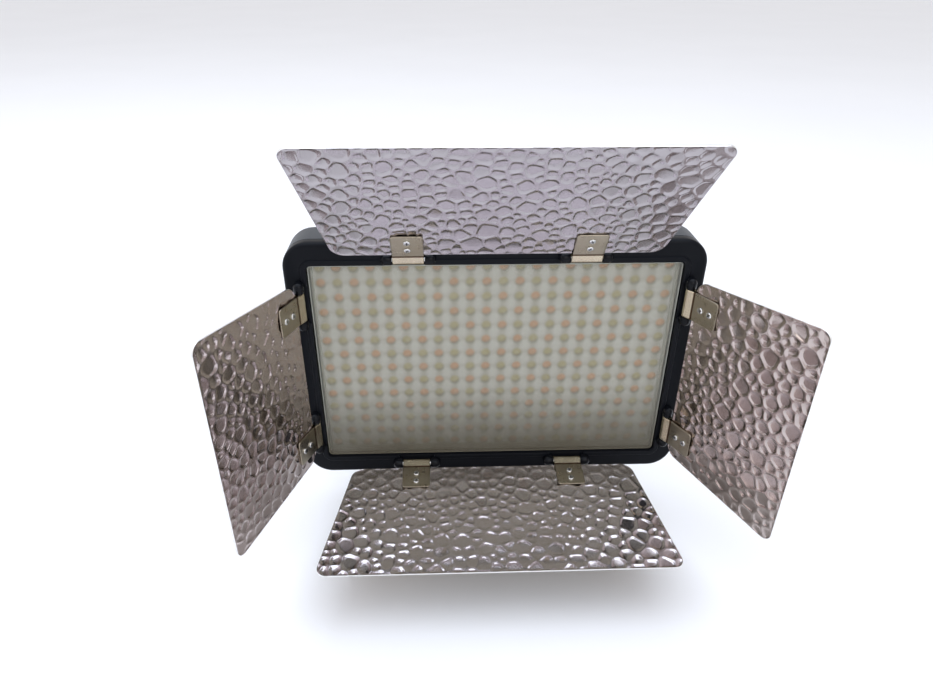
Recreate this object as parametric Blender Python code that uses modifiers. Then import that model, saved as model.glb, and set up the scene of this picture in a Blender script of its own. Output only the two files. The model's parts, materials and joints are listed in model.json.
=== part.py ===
"""LED panel light with four barn doors on a tilting stand head.

Metres, +Z up. The light shines along -Y, and +X is on the right of someone facing it.
The origin is the centre of the stand socket, in the under face of the stand base.
"""

import math

import bmesh
import bpy
from mathutils import Matrix, Vector

# Clearances
GAP = 0.0003  # between two pieces that are assembled against each other
FIT = 0.00015  # between sheets that are screwed together
RUNNING = 0.0004  # between a piece that turns or slides and what is beside it
SMALL_ROUND = 0.0006  # on the rims of small fittings
LARGE_ROUND = 0.001

# Body
BODY_WIDTH = 0.235
BODY_HEIGHT = 0.158
BODY_CORNER = 0.015
WALL = 0.0022
BEZEL_DEPTH = 0.0066
BEZEL_FACE = 0.003
FRONT_ROUND = 0.0024
HOUSING_DEPTH = 0.0231
BACK_ROUND = 0.006
FACE_TO_STAND = 0.017  # from the stand's axis forward to the bezel's face

# Opening, lip and diffuser
FRAME_WIDTH = 0.0129
OPENING_CORNER = 0.003
LIP_WIDTH = 0.003
LIP_HEIGHT = 0.001
NOTCH_SIDE = 0.0016
DIFFUSER_SINK = 0.001
DIFFUSER_SKIN = 0.0016
DIFFUSER_DEPTH = 0.008
DIFFUSER_ROUND = 0.0007
FLANGE_WIDTH = 0.003
FLANGE_THICKNESS = 0.0015

# Boards
BOARD_THICKNESS = 0.0016
BOARD_EDGE = 0.006  # from the body's outside to the LED board's edge
BOARD_CORNER = 0.009
CONTROL_BOARD = (0.124, 0.046)
CONTROL_BOARD_CORNER = 0.002
CONTROL_BOARD_DEPTH = 0.019

# Hinges and clips
HINGE_INSET = 0.0085
HINGE_HEIGHT = 0.003
PIN_RADIUS = 0.00125
PIN_SEAT = 0.0024
BOSS_RADIUS = 0.0031
BOSS_STRAIGHT = 0.0031
BOSS_ROOT = 0.0006
CLIP_SHEET = 0.0009
CLIP_BORE = 0.0017
CLIP_WIDTH = 0.017
CLIP_REACH = 0.022
CLIP_CORNER = 0.0016
CLIP_SCREWS = (0.011, 0.0175)
SCREW_SHANK = 0.0009
SCREW_HOLE = 0.0012
SCREW_HEAD = 0.0016
SCREW_HEAD_HEIGHT = 0.0008
SCREW_TAIL = 0.0005
SCREW_SLOT = (0.0019, 0.0005)
SCREW_SLOT_DEPTH = 0.0004

# Barn doors: "turn" is the hinge's place round the face in degrees, and "opening" is the
# door's angle, 0 flat with the face and 180 folded over the diffuser
DOOR_SHEET = 0.0012
DOOR_GAP = 0.005
DOOR_OUTER_CORNER = 0.0055
DOOR_HINGE_CORNER = 0.008
LONG_DOOR = {"hinge_width": 0.176, "outer_width": 0.2046, "length": 0.080, "clips": 0.0966}
SHORT_DOOR = {"hinge_width": 0.119, "outer_width": 0.1334, "length": 0.082, "clips": 0.088}
SIDE_DROP = 0.0015  # the side doors hang this much below the middle of the face
DOORS = {
    "top": {"turn": 0, "opening": 32.5, "shift": 0.0, **LONG_DOOR},
    "bottom": {"turn": 180, "opening": 85.0, "shift": 0.0, **LONG_DOOR},
    "left": {"turn": 90, "opening": 68.0, "shift": -SIDE_DROP, **SHORT_DOOR},
    "right": {"turn": -90, "opening": 63.0, "shift": SIDE_DROP, **SHORT_DOOR},
}

# Controls on the back: places are (across, up) from the face's centre
SCREEN_PLACE = (0.0, 0.047)
SCREEN_SIZE = (0.038, 0.020)
SCREEN_CORNER = 0.0015
SCREEN_MODULE_DEPTH = 0.0035
KNOB_PLACES = {"brightness": (-0.044, 0.047), "colour": (0.044, 0.047)}
KNOB_RADIUS = 0.0085
KNOB_HEIGHT = 0.0105
KNOB_FLUTES = 16
KNOB_FLUTE_DEPTH = 0.0004
KNOB_ROUND = 0.0009
KNOB_SHAFT = 0.003
KNOB_SHAFT_LENGTH = 0.006
KNOB_MARK = (0.0009, 0.0045, 0.0006)
BUTTON_PLACES = {"mode": (-0.012, 0.0265), "light": (0.012, 0.0265)}
BUTTON_RADIUS = 0.0034
BUTTON_PROUD = 0.0012
BUTTON_FLANGE = 0.0011
BUTTON_DOME = 0.0004
SWITCH_PLACE = (-0.078, -0.045)
SWITCH_SIZE = (0.013, 0.019)
SWITCH_TILT = 9.0
SWITCH_PROUD = 0.0016
SWITCH_DEPTH = 0.007
JACK_PLACE = (0.078, -0.045)
JACK_BORE = 0.0031
JACK_BARREL = 0.0046
JACK_FLANGE = 0.006
JACK_FLANGE_THICKNESS = 0.001
JACK_DEPTH = 0.010
JACK_PIN = 0.001
VENT_SIZE = (0.030, 0.0024)
VENT_PITCH = 0.0072
VENT_COUNT = 7
VENT_PLACES = ((-0.083, 0.012), (0.083, 0.012))

# Battery plate
BATTERY_PLACE = (0.0, -0.027)
BATTERY_SIZE = (0.046, 0.076)
BATTERY_PLATE = 0.0045
BATTERY_CORNER = 0.003
RAIL_WIDTH = 0.0024
RAIL_HEIGHT = 0.0055
RAIL_LENGTH = 0.052
RAIL_LIP = 0.0016
LATCH_SIZE = (0.012, 0.008)
LATCH_PROUD = 0.0024
LATCH_TRAVEL = 0.003
LATCH_RISE = 0.009  # from the plate's lower edge to the latch's middle
CONTACT_SIZE = (0.018, 0.0065)
CONTACT_HEIGHT = 0.0048
CONTACT_RISE = 0.068
BLADE_SIZE = (0.0009, 0.0105, 0.0028)
BLADE_PITCH = 0.0055

# Stand head
SOCKET_RADIUS = 0.0031
SOCKET_DEPTH = 0.0095
BASE_SIZE = (0.027, 0.022)
BASE_HEIGHT = 0.012
BASE_CORNER = 0.003
TILT_HEIGHT = 0.022
EAR_THICKNESS = 0.005
EAR_RADIUS = 0.009
TONGUE_WIDTH = 0.0082
TONGUE_RADIUS = 0.0085
NECK_WIDTH = 0.0095
SEAT_RADIUS = 0.010
SEAT_THICKNESS = 0.003
SEAT_LIFT = 0.0096  # from the tilt axis up to the seat's under face
STUD_RADIUS = 0.003
STUD_LENGTH = 0.0075
WHEEL_RADIUS = 0.0115
WHEEL_THICKNESS = 0.0045
WHEEL_FLUTES = 16
WHEEL_FLUTE_DEPTH = 0.0005
BUSH_RADIUS = 0.0049
BUSH_FLANGE = 0.007
BUSH_FLANGE_THICKNESS = 0.0016
BUSH_LENGTH = 0.010
BOLT_RADIUS = 0.0024
BOLT_HEAD = 0.005
BOLT_HEAD_HEIGHT = 0.003
HAND_KNOB_RADIUS = 0.0092
HAND_KNOB_LOBES = 6
HAND_KNOB_LOBE_DEPTH = 0.0011
HAND_KNOB_LENGTH = 0.012
HAND_KNOB_COLLAR = 0.0055
HAND_KNOB_COLLAR_LENGTH = 0.003
HAND_KNOB_BORE_DEPTH = 0.009

# Levels that follow from the sizes above, measured forward from the bezel's face
BODY_BACK = -(BEZEL_DEPTH + GAP + HOUSING_DEPTH)
BACK_INSIDE = BODY_BACK + WALL
BOARD_FRONT = -(DIFFUSER_SINK + DIFFUSER_DEPTH + GAP)
SEAT_TOP = TILT_HEIGHT + SEAT_LIFT + SEAT_THICKNESS
WHEEL_BOTTOM = SEAT_TOP + GAP
BODY_BOTTOM = WHEEL_BOTTOM + WHEEL_THICKNESS + GAP
FACE_CENTRE = Vector((0, -FACE_TO_STAND, BODY_BOTTOM + BODY_HEIGHT / 2))
TILT_CENTRE = Vector((0, 0, TILT_HEIGHT))
CLIP_MIDDLE = DOOR_SHEET / 2 + FIT + CLIP_SHEET / 2
BOSS_START = CLIP_WIDTH / 2 + RUNNING

parts = None
cutters = None


# Scene helpers


def new_scene():
    global parts, cutters
    for obj in list(bpy.data.objects):
        bpy.data.objects.remove(obj)
    parts = bpy.data.collections.new("led_panel_light")
    cutters = bpy.data.collections.new("cutters")
    bpy.context.scene.collection.children.link(parts)
    bpy.context.scene.collection.children.link(cutters)


def material(name, colour, roughness, metallic=0.0, alpha=1.0):
    made = bpy.data.materials.new(name)
    made.use_nodes = True
    shader = made.node_tree.nodes["Principled BSDF"]
    shader.inputs["Base Color"].default_value = (*colour, 1)
    shader.inputs["Roughness"].default_value = roughness
    shader.inputs["Metallic"].default_value = metallic
    shader.inputs["Alpha"].default_value = alpha
    return made


def frame(name, matrix, parent=None):
    """An empty whose axes the pieces under it are modelled in."""
    empty = bpy.data.objects.new(name, None)
    empty.empty_display_size = 0.01
    parts.objects.link(empty)
    empty.parent = parent
    empty.matrix_local = matrix
    return empty


def place(obj, parent, matrix=None, look=None):
    obj.parent = parent
    obj.matrix_local = matrix or Matrix.Identity(4)
    if look:
        obj.data.materials.clear()
        obj.data.materials.append(look)
    return obj


def mesh_object(name, mesh, collection=None):
    mesh.name = name
    obj = bpy.data.objects.new(name, mesh)
    (collection or parts).objects.link(obj)
    return obj


def from_bmesh(name, shape, collection=None):
    bmesh.ops.recalc_face_normals(shape, faces=shape.faces)
    mesh = bpy.data.meshes.new(name)
    shape.to_mesh(mesh)
    shape.free()
    return mesh_object(name, mesh, collection)


def as_cutter(obj):
    for collection in list(obj.users_collection):
        collection.objects.unlink(obj)
    cutters.objects.link(obj)
    obj.hide_render = True
    obj.display_type = "WIRE"
    return obj


def boolean(target, other, operation):
    """The other shape is modelled in the target's own frame, and hangs under it."""
    as_cutter(other)
    other.parent = target
    modifier = target.modifiers.new(other.name, "BOOLEAN")
    modifier.operation = operation
    modifier.solver = "EXACT"
    modifier.object = other


def cut(target, *others):
    for other in others:
        boolean(target, other, "DIFFERENCE")
    return target


def join(target, *others):
    for other in others:
        boolean(target, other, "UNION")
    return target


def finished_mesh(obj):
    """The object's mesh with its modifiers applied. The object and its cutters go."""
    bpy.context.view_layer.update()
    graph = bpy.context.evaluated_depsgraph_get()
    mesh = bpy.data.meshes.new_from_object(obj.evaluated_get(graph))
    for child in obj.children:
        bpy.data.objects.remove(child)
    bpy.data.objects.remove(obj)
    return mesh


def smooth(obj, degrees=35):
    obj.data.shade_smooth()
    obj.data.set_sharp_from_angle(angle=math.radians(degrees))
    return obj


# Outlines: lists of (x, y) points, anticlockwise


def filleted(corners, radii, steps=5):
    """The outline through these corners with each one rounded to its radius."""
    points = []
    count = len(corners)
    for index, radius in enumerate(radii):
        corner = Vector(corners[index])
        before = (Vector(corners[index - 1]) - corner).normalized()
        after = (Vector(corners[(index + 1) % count]) - corner).normalized()
        if radius <= 0:
            points.append(tuple(corner))
            continue
        half = before.angle(after) / 2
        centre = corner + (before + after).normalized() * radius / math.sin(half)
        start = corner + before * radius / math.tan(half) - centre
        sweep = math.pi - 2 * half
        for step in range(steps + 1):
            turned = start.copy()
            turned.rotate(Matrix.Rotation(sweep * step / steps, 2))
            points.append(tuple(centre + turned))
    return points


def rectangle(width, height, radius=0.0, steps=5, middle=(0, 0)):
    x, y = middle
    corners = [
        (x - width / 2, y - height / 2),
        (x + width / 2, y - height / 2),
        (x + width / 2, y + height / 2),
        (x - width / 2, y + height / 2),
    ]
    return filleted(corners, [radius] * 4, steps)


def circle(radius, sides=24, middle=(0, 0)):
    x, y = middle
    angles = [2 * math.pi * (side + 0.5) / sides for side in range(sides)]
    return [(x + radius * math.cos(angle), y + radius * math.sin(angle)) for angle in angles]


def waved(radius, depth, waves, points_per_wave=3):
    """A grip's outline: a circle whose radius rises and falls round it."""
    count = waves * points_per_wave
    points = []
    for index in range(count):
        angle = 2 * math.pi * index / count
        reach = radius - depth * (1 - math.cos(waves * angle)) / 2
        points.append((reach * math.cos(angle), reach * math.sin(angle)))
    return points


# Solids


def slab(name, outline, low, high, holes=(), round_high=0.0, round_low=0.0, steps=3):
    """A flat outline made solid between two heights on Z, its rims rounded if asked."""
    curve = bpy.data.curves.new(name, "CURVE")
    curve.dimensions = "2D"
    curve.fill_mode = "BOTH"
    curve.extrude = (high - low) / 2
    for loop in (outline, *holes):
        spline = curve.splines.new("POLY")
        spline.points.add(len(loop) - 1)
        spline.use_cyclic_u = True
        for point, (x, y) in zip(spline.points, loop):
            point.co = (x, y, 0, 1)
    flat = bpy.data.objects.new(name, curve)
    parts.objects.link(flat)
    mesh = finished_mesh(flat)
    shape = bmesh.new()
    shape.from_mesh(mesh)
    bpy.data.meshes.remove(mesh)
    bmesh.ops.remove_doubles(shape, verts=shape.verts, dist=1e-6)
    middle = (high + low) / 2
    bmesh.ops.translate(shape, verts=shape.verts, vec=(0, 0, middle))
    if not holes:
        bmesh.ops.dissolve_limit(
            shape, angle_limit=math.radians(0.5), verts=shape.verts, edges=shape.edges
        )
    for radius, level in ((round_high, high), (round_low, low)):
        if radius > 0:
            rim = [
                edge
                for edge in shape.edges
                if all(abs(vert.co.z - level) < 1e-6 for vert in edge.verts)
            ]
            bmesh.ops.bevel(
                shape, geom=rim, offset=radius, segments=steps, profile=0.5, affect="EDGES"
            )
    return from_bmesh(name, shape)


def cylinder(name, radius, low, high, sides=24, middle=(0, 0)):
    shape = bmesh.new()
    bmesh.ops.create_cone(
        shape,
        cap_ends=True,
        segments=sides,
        radius1=radius,
        radius2=radius,
        depth=high - low,
        matrix=Matrix.Translation((*middle, (high + low) / 2)),
    )
    return smooth(from_bmesh(name, shape))


def block(name, low, high):
    """A box between two opposite corners."""
    shape = bmesh.new()
    size = Vector(high) - Vector(low)
    middle = (Vector(high) + Vector(low)) / 2
    matrix = Matrix.Translation(middle) @ Matrix.Diagonal((*size, 1))
    bmesh.ops.create_cube(shape, size=1, matrix=matrix)
    return from_bmesh(name, shape)


def turned(name, profile, sides=24):
    """A profile of (radius, height) points, top to bottom, turned about Z."""
    shape = bmesh.new()
    verts = [shape.verts.new((radius, 0, height)) for radius, height in profile]
    for upper, lower in zip(verts, verts[1:]):
        shape.edges.new((upper, lower))
    mesh = bpy.data.meshes.new(name)
    shape.to_mesh(mesh)
    shape.free()
    obj = mesh_object(name, mesh)
    screw = obj.modifiers.new("Turn", "SCREW")
    screw.steps = sides
    screw.render_steps = sides
    screw.use_merge_vertices = True
    screw.merge_threshold = 1e-5
    screw.use_smooth_shade = False
    return smooth(mesh_object(name, finished_mesh(obj)))


def moved(obj, matrix):
    obj.data.transform(matrix)
    return obj


ALONG_X = Matrix.Rotation(math.radians(90), 4, "Y")  # turns +Z to +X
ALONG_Y = Matrix.Rotation(math.radians(-90), 4, "X")  # turns +Z to +Y
BACKWARD = Matrix.Rotation(math.radians(180), 4, "Y")  # turns +Z to -Z
ABOVE_TILT = Matrix.Translation(-TILT_CENTRE)  # from the stand's heights to the tilt axis's


# Face frames


def door_distance(door):
    """From the middle of the face to the door's hinge axis."""
    across = BODY_HEIGHT if door["turn"] in (0, 180) else BODY_WIDTH
    return across / 2 - HINGE_INSET


def station_matrix(door):
    """The door's hinge axis in the face's frame: X runs along it and Y away from the opening."""
    turn = Matrix.Rotation(math.radians(door["turn"]), 4, "Z")
    return turn @ Matrix.Translation((0, door_distance(door), HINGE_HEIGHT))


def clip_offsets(door):
    return [door["shift"] + side * door["clips"] / 2 for side in (-1, 1)]


def opening_size():
    return BODY_WIDTH - 2 * FRAME_WIDTH, BODY_HEIGHT - 2 * FRAME_WIDTH


# Body


def hinge_boss(side, matrix, name):
    """One knuckle of a hinge: a bullet along the pin on a block that stands on the face."""
    steps = 3
    reach = BOSS_START + BOSS_STRAIGHT
    rounded = [
        (BOSS_RADIUS * math.sin(math.pi / 2 * step / steps),
         reach + BOSS_RADIUS * math.cos(math.pi / 2 * step / steps))
        for step in range(steps + 1)
    ]
    bullet = turned(name + "_bullet", [*rounded, (BOSS_RADIUS, BOSS_START), (0, BOSS_START)], 12)
    moved(bullet, ALONG_X)
    nose = [
        (reach + BOSS_RADIUS * math.cos(angle), BOSS_RADIUS * math.sin(angle))
        for angle in [math.pi * (step / 6 - 0.5) for step in range(7)]
    ]
    outline = [*nose, (BOSS_START, BOSS_RADIUS), (BOSS_START, -BOSS_RADIUS)]
    foot = slab(name + "_foot", outline, -HINGE_HEIGHT - BOSS_ROOT, 0)
    bore = cylinder(name + "_bore", PIN_RADIUS + FIT, BOSS_START - GAP, BOSS_START + PIN_SEAT, 10)
    moved(bore, ALONG_X)
    for piece in (bullet, foot, bore):
        if side < 0:
            moved(piece, Matrix.Rotation(math.pi, 4, "Z"))
        moved(piece, matrix)
    return bullet, foot, bore


def make_bezel(face, look):
    width, height = opening_size()
    outline = rectangle(BODY_WIDTH, BODY_HEIGHT, BODY_CORNER, 8)
    bezel = slab("front_bezel", outline, -BEZEL_DEPTH, 0, round_high=FRONT_ROUND)
    place(bezel, face, look=look)
    inside = rectangle(BODY_WIDTH - 2 * WALL, BODY_HEIGHT - 2 * WALL, BODY_CORNER - WALL, 8)
    cut(bezel, slab("bezel_pocket", inside, -BEZEL_DEPTH - GAP, -BEZEL_FACE))
    lip = slab(
        "bezel_lip",
        rectangle(width + 2 * LIP_WIDTH, height + 2 * LIP_WIDTH, OPENING_CORNER + LIP_WIDTH, 4),
        -BOSS_ROOT,
        LIP_HEIGHT,
        round_high=LIP_HEIGHT / 3,
        steps=2,
    )
    join(bezel, lip)
    hole = rectangle(width, height, OPENING_CORNER, 4)
    cut(bezel, slab("bezel_opening", hole, -2 * BEZEL_FACE, 2 * LIP_HEIGHT))
    for side_name, door in DOORS.items():
        for index, offset in enumerate(clip_offsets(door), start=1):
            name = f"bezel_{side_name}_{index}"
            matrix = station_matrix(door) @ Matrix.Translation((offset, 0, 0))
            cut(bezel, moved(make_notch(name + "_notch"), matrix))
            for side in (-1, 1):
                bullet, foot, bore = hinge_boss(side, matrix, f"{name}_{side}")
                join(bezel, foot, bullet)
                cut(bezel, bore)
    return bezel


def make_notch(name):
    """The gap in the lip that the clip folds into, with slanted ends."""
    outer = CLIP_WIDTH / 2 + NOTCH_SIDE
    inner = outer + LIP_WIDTH
    near = FRAME_WIDTH - HINGE_INSET + LIP_WIDTH
    far = FRAME_WIDTH - HINGE_INSET - LIP_WIDTH - NOTCH_SIDE
    outline = [(-inner, -near), (inner, -near), (outer, -far), (-outer, -far)]
    return slab(name, outline, -HINGE_HEIGHT, LIP_HEIGHT)


def vent_cutter(name, middle):
    span = VENT_PITCH * (VENT_COUNT - 1)
    shape = bmesh.new()
    for index in range(VENT_COUNT):
        centre = (middle[0], middle[1] - span / 2 + index * VENT_PITCH)
        slot = slab(
            name, rectangle(*VENT_SIZE, VENT_SIZE[1] / 2, 3, centre), BODY_BACK - WALL,
            BACK_INSIDE + WALL,
        )
        shape.from_mesh(slot.data)
        bpy.data.objects.remove(slot)
    return from_bmesh(name, shape)


def back_hole(name, outline):
    return slab(name, outline, BODY_BACK - WALL, BACK_INSIDE + WALL)


def make_housing(face, look):
    outline = rectangle(BODY_WIDTH, BODY_HEIGHT, BODY_CORNER, 8)
    front = -(BEZEL_DEPTH + GAP)
    housing = slab("rear_housing", outline, BODY_BACK, front, round_low=BACK_ROUND, steps=5)
    place(housing, face, look=look)
    inside = rectangle(BODY_WIDTH - 2 * WALL, BODY_HEIGHT - 2 * WALL, BODY_CORNER - WALL, 8)
    hollow = slab(
        "housing_hollow", inside, BACK_INSIDE, front + GAP, round_low=BACK_ROUND - WALL, steps=3
    )
    holes = [
        back_hole("screen_hole", rectangle(*grown(SCREEN_SIZE), SCREEN_CORNER, 2, SCREEN_PLACE)),
        back_hole("switch_hole", rectangle(*grown(SWITCH_SIZE), 0, 1, SWITCH_PLACE)),
        back_hole("jack_hole", circle(JACK_BARREL + GAP, 24, JACK_PLACE)),
    ]
    for name, middle in KNOB_PLACES.items():
        holes.append(back_hole(f"{name}_hole", circle(KNOB_SHAFT + RUNNING, 16, middle)))
    for name, middle in BUTTON_PLACES.items():
        holes.append(back_hole(f"{name}_hole", circle(BUTTON_RADIUS + RUNNING, 20, middle)))
    for index, middle in enumerate(VENT_PLACES, start=1):
        holes.append(vent_cutter(f"vents_{index}", middle))
    bush_hole = cylinder("bush_hole", BUSH_RADIUS + GAP, -WALL, 2 * WALL)
    holes.append(moved(bush_hole, bush_matrix()))
    return cut(housing, hollow, *holes)


def grown(size, by=GAP):
    return size[0] + 2 * by, size[1] + 2 * by


def bush_matrix():
    """The stand bush's axis in the face's frame, starting at the body's under side."""
    return Matrix.Translation((0, -BODY_HEIGHT / 2, -FACE_TO_STAND)) @ ALONG_Y


def make_diffuser(face, look):
    width, height = opening_size()
    front = -DIFFUSER_SINK
    back = front - DIFFUSER_DEPTH
    width, height = width - 2 * GAP, height - 2 * GAP
    outline = rectangle(width, height, OPENING_CORNER - GAP, 4)
    tray = slab("diffuser", outline, back, front, round_high=DIFFUSER_ROUND, steps=2)
    flange_outline = rectangle(
        width + 2 * FLANGE_WIDTH, height + 2 * FLANGE_WIDTH, OPENING_CORNER + FLANGE_WIDTH, 4
    )
    flange_top = -(BEZEL_FACE + GAP)
    join(tray, slab("diffuser_flange", flange_outline, flange_top - FLANGE_THICKNESS, flange_top))
    hollow_outline = rectangle(
        width - 2 * DIFFUSER_SKIN, height - 2 * DIFFUSER_SKIN, OPENING_CORNER / 2, 3
    )
    cut(tray, slab("diffuser_hollow", hollow_outline, back - GAP, front - DIFFUSER_SKIN))
    return place(tray, face, look=look)


def make_boards(face, look):
    outline = rectangle(BODY_WIDTH - 2 * BOARD_EDGE, BODY_HEIGHT - 2 * BOARD_EDGE, BOARD_CORNER, 4)
    board = slab("led_board", outline, BOARD_FRONT - BOARD_THICKNESS, BOARD_FRONT)
    place(board, face, look=look)
    control = slab(
        "control_board",
        rectangle(*CONTROL_BOARD, CONTROL_BOARD_CORNER, 2, SCREEN_PLACE),
        -CONTROL_BOARD_DEPTH - BOARD_THICKNESS,
        -CONTROL_BOARD_DEPTH,
    )
    place(control, face, look=look)


# Hinges, clips and doors


def make_pin_mesh():
    half = BOSS_START + PIN_SEAT - GAP
    return finished_mesh(moved(cylinder("hinge_pin", PIN_RADIUS, -half, half, 10), ALONG_X))


def make_clip_mesh():
    """A strip of sheet that leaves the door, wraps the pin and comes back to the door."""
    radius = CLIP_BORE + CLIP_SHEET / 2
    start = math.asin(CLIP_MIDDLE / radius)
    steps = 10
    path = [(CLIP_REACH, CLIP_MIDDLE)]
    for step in range(steps + 1):
        angle = start + (2 * math.pi - 2 * start) * step / steps
        path.append((radius * math.cos(angle), radius * math.sin(angle)))
    path.append((CLIP_REACH, -CLIP_MIDDLE))
    shape = bmesh.new()
    rows = [
        [shape.verts.new((x, y, z)) for y, z in path] for x in (-CLIP_WIDTH / 2, CLIP_WIDTH / 2)
    ]
    for index in range(len(path) - 1):
        shape.faces.new(
            (rows[0][index], rows[0][index + 1], rows[1][index + 1], rows[1][index])
        )
    ends = [vert for vert in shape.verts if vert.co.y > CLIP_REACH - 1e-6]
    bmesh.ops.bevel(
        shape, geom=ends, offset=CLIP_CORNER, segments=3, profile=0.5, affect="VERTICES"
    )
    clip = from_bmesh("clip", shape)
    sheet = clip.modifiers.new("Sheet", "SOLIDIFY")
    sheet.thickness = CLIP_SHEET
    sheet.offset = 0
    sheet.use_even_offset = True
    deep = CLIP_MIDDLE + CLIP_SHEET
    for index, reach in enumerate(CLIP_SCREWS):
        cut(clip, cylinder(f"clip_hole_{index}", SCREW_HOLE, -deep, deep, 8, (0, reach)))
    return finished_mesh(clip)


def make_screw_mesh():
    """A pan-head screw with a cross recess, standing on its head's under face at Z 0."""
    steps = 2
    head = [
        (SCREW_HEAD * math.sin(math.pi / 2 * step / steps),
         SCREW_HEAD_HEIGHT * math.cos(math.pi / 2 * step / steps))
        for step in range(steps + 1)
    ]
    length = 2 * CLIP_MIDDLE + CLIP_SHEET + FIT + SCREW_TAIL
    profile = [*head, (SCREW_SHANK, 0), (SCREW_SHANK, -length), (0, -length)]
    screw = turned("clip_screw", profile, 10)
    deep = SCREW_HEAD_HEIGHT - SCREW_SLOT_DEPTH
    long, thin = SCREW_SLOT[0] / 2, SCREW_SLOT[1] / 2
    high = 2 * SCREW_HEAD_HEIGHT
    cut(screw, block("recess_a", (-long, -thin, deep), (long, thin, high)))
    cut(screw, block("recess_b", (-thin, -long, deep), (thin, long, high)))
    return finished_mesh(screw)


def door_outline(door):
    hinge, outer = door["hinge_width"] / 2, door["outer_width"] / 2
    shift = door["shift"]
    near, far = DOOR_GAP, DOOR_GAP + door["length"]
    corners = [(shift - hinge, near), (shift + hinge, near), (shift + outer, far),
               (shift - outer, far)]
    radii = [DOOR_HINGE_CORNER] * 2 + [DOOR_OUTER_CORNER] * 2
    return filleted(corners, radii, 5)


def make_doors(face, looks):
    pin_mesh, clip_mesh, screw_mesh = make_pin_mesh(), make_clip_mesh(), make_screw_mesh()
    head_seat = CLIP_MIDDLE + CLIP_SHEET / 2 + FIT
    for side, door in DOORS.items():
        station = frame(f"{side}_hinge_line", station_matrix(door), face)
        swing = Matrix.Rotation(math.radians(door["opening"]), 4, "X")
        hinge = frame(f"{side}_door_hinge", swing, station)
        holes = [
            circle(SCREW_HOLE, 8, (offset, reach))
            for offset in clip_offsets(door)
            for reach in CLIP_SCREWS
        ]
        plate = slab(
            f"door_{side}", door_outline(door), -DOOR_SHEET / 2, DOOR_SHEET / 2, holes=holes
        )
        place(plate, hinge, look=looks["door"])
        for index, offset in enumerate(clip_offsets(door), start=1):
            across = Matrix.Translation((offset, 0, 0))
            pin = mesh_object(f"hinge_pin_{side}_{index}", pin_mesh)
            place(pin, station, across, looks["steel"])
            clip = mesh_object(f"clip_{side}_{index}", clip_mesh)
            place(clip, hinge, across, looks["clip"])
            for number, reach in enumerate(CLIP_SCREWS, start=1):
                screw = mesh_object(f"clip_screw_{side}_{index}_{number}", screw_mesh)
                spot = Matrix.Translation((offset, reach, head_seat))
                place(screw, hinge, spot, looks["steel"])


# Controls


def make_screen(face, looks):
    x, y = SCREEN_PLACE
    window = slab(
        "screen_window",
        rectangle(*SCREEN_SIZE, SCREEN_CORNER - GAP, 2, SCREEN_PLACE),
        BODY_BACK,
        BACK_INSIDE,
    )
    place(window, face, look=looks["screen"])
    half_width, half_height = SCREEN_SIZE[0] / 2 + WALL, SCREEN_SIZE[1] / 2 + WALL
    low = BACK_INSIDE + GAP
    module = block(
        "screen_module",
        (x - half_width, y - half_height, low),
        (x + half_width, y + half_height, low + SCREEN_MODULE_DEPTH),
    )
    place(module, face, look=looks["dark_metal"])


def back_frame(name, middle, face):
    """A frame on the outside of the back, its Z pointing away from the light."""
    return frame(name, Matrix.Translation((*middle, BODY_BACK)) @ BACKWARD, face)


def make_knobs(face, look):
    for name, middle in KNOB_PLACES.items():
        axis = back_frame(f"knob_{name}_axis", middle, face)
        outline = waved(KNOB_RADIUS, KNOB_FLUTE_DEPTH, KNOB_FLUTES)
        knob = slab(
            f"knob_{name}", outline, RUNNING, KNOB_HEIGHT, round_high=KNOB_ROUND, steps=2
        )
        place(knob, axis, look=look)
        shaft_low = -WALL - KNOB_SHAFT_LENGTH
        join(knob, cylinder(f"{name}_shaft", KNOB_SHAFT, shaft_low, RUNNING * 2, 16))
        wide, long, deep = KNOB_MARK
        reach = KNOB_RADIUS - KNOB_FLUTE_DEPTH - KNOB_ROUND
        mark = block(
            f"{name}_mark", (-wide / 2, reach - long, KNOB_HEIGHT - deep),
            (wide / 2, reach, KNOB_HEIGHT + deep),
        )
        cut(knob, mark)


def make_buttons(face, look):
    for name, middle in BUTTON_PLACES.items():
        axis = back_frame(f"button_{name}_axis", middle, face)
        flange_top = -WALL - GAP
        profile = [
            (0, BUTTON_PROUD),
            (BUTTON_RADIUS * 2 / 3, BUTTON_PROUD - BUTTON_DOME / 3),
            (BUTTON_RADIUS, BUTTON_PROUD - BUTTON_DOME),
            (BUTTON_RADIUS, flange_top),
            (BUTTON_RADIUS + BUTTON_FLANGE, flange_top),
            (BUTTON_RADIUS + BUTTON_FLANGE, flange_top - BUTTON_FLANGE),
            (0, flange_top - BUTTON_FLANGE),
        ]
        place(turned(f"button_{name}", profile, 20), axis, look=look)


def make_switch(face, look):
    """A rocker that tips about its own axis, modelled level and then set to its off side."""
    axis = back_frame("switch_axis", SWITCH_PLACE, face)
    tipped = frame("switch_tip", Matrix.Rotation(math.radians(SWITCH_TILT), 4, "X"), axis)
    width, height = SWITCH_SIZE[0] - 2 * GAP, SWITCH_SIZE[1] - 4 * RUNNING
    rise = math.tan(math.radians(SWITCH_TILT)) * height / 2
    side = [
        (-height / 2, SWITCH_PROUD + rise / 2),
        (0, SWITCH_PROUD - rise / 2),
        (height / 2, SWITCH_PROUD + rise / 2),
        (height / 2 - WALL, -WALL),
        (height / 4, -SWITCH_DEPTH),
        (-height / 4, -SWITCH_DEPTH),
        (-height / 2 + WALL, -WALL),
    ]
    rocker = slab("switch_rocker", side[::-1], -width / 2, width / 2)
    standing = Matrix(((0, 0, 1, 0), (1, 0, 0, 0), (0, 1, 0, 0), (0, 0, 0, 1)))
    place(moved(rocker, standing), tipped, look=look)


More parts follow.
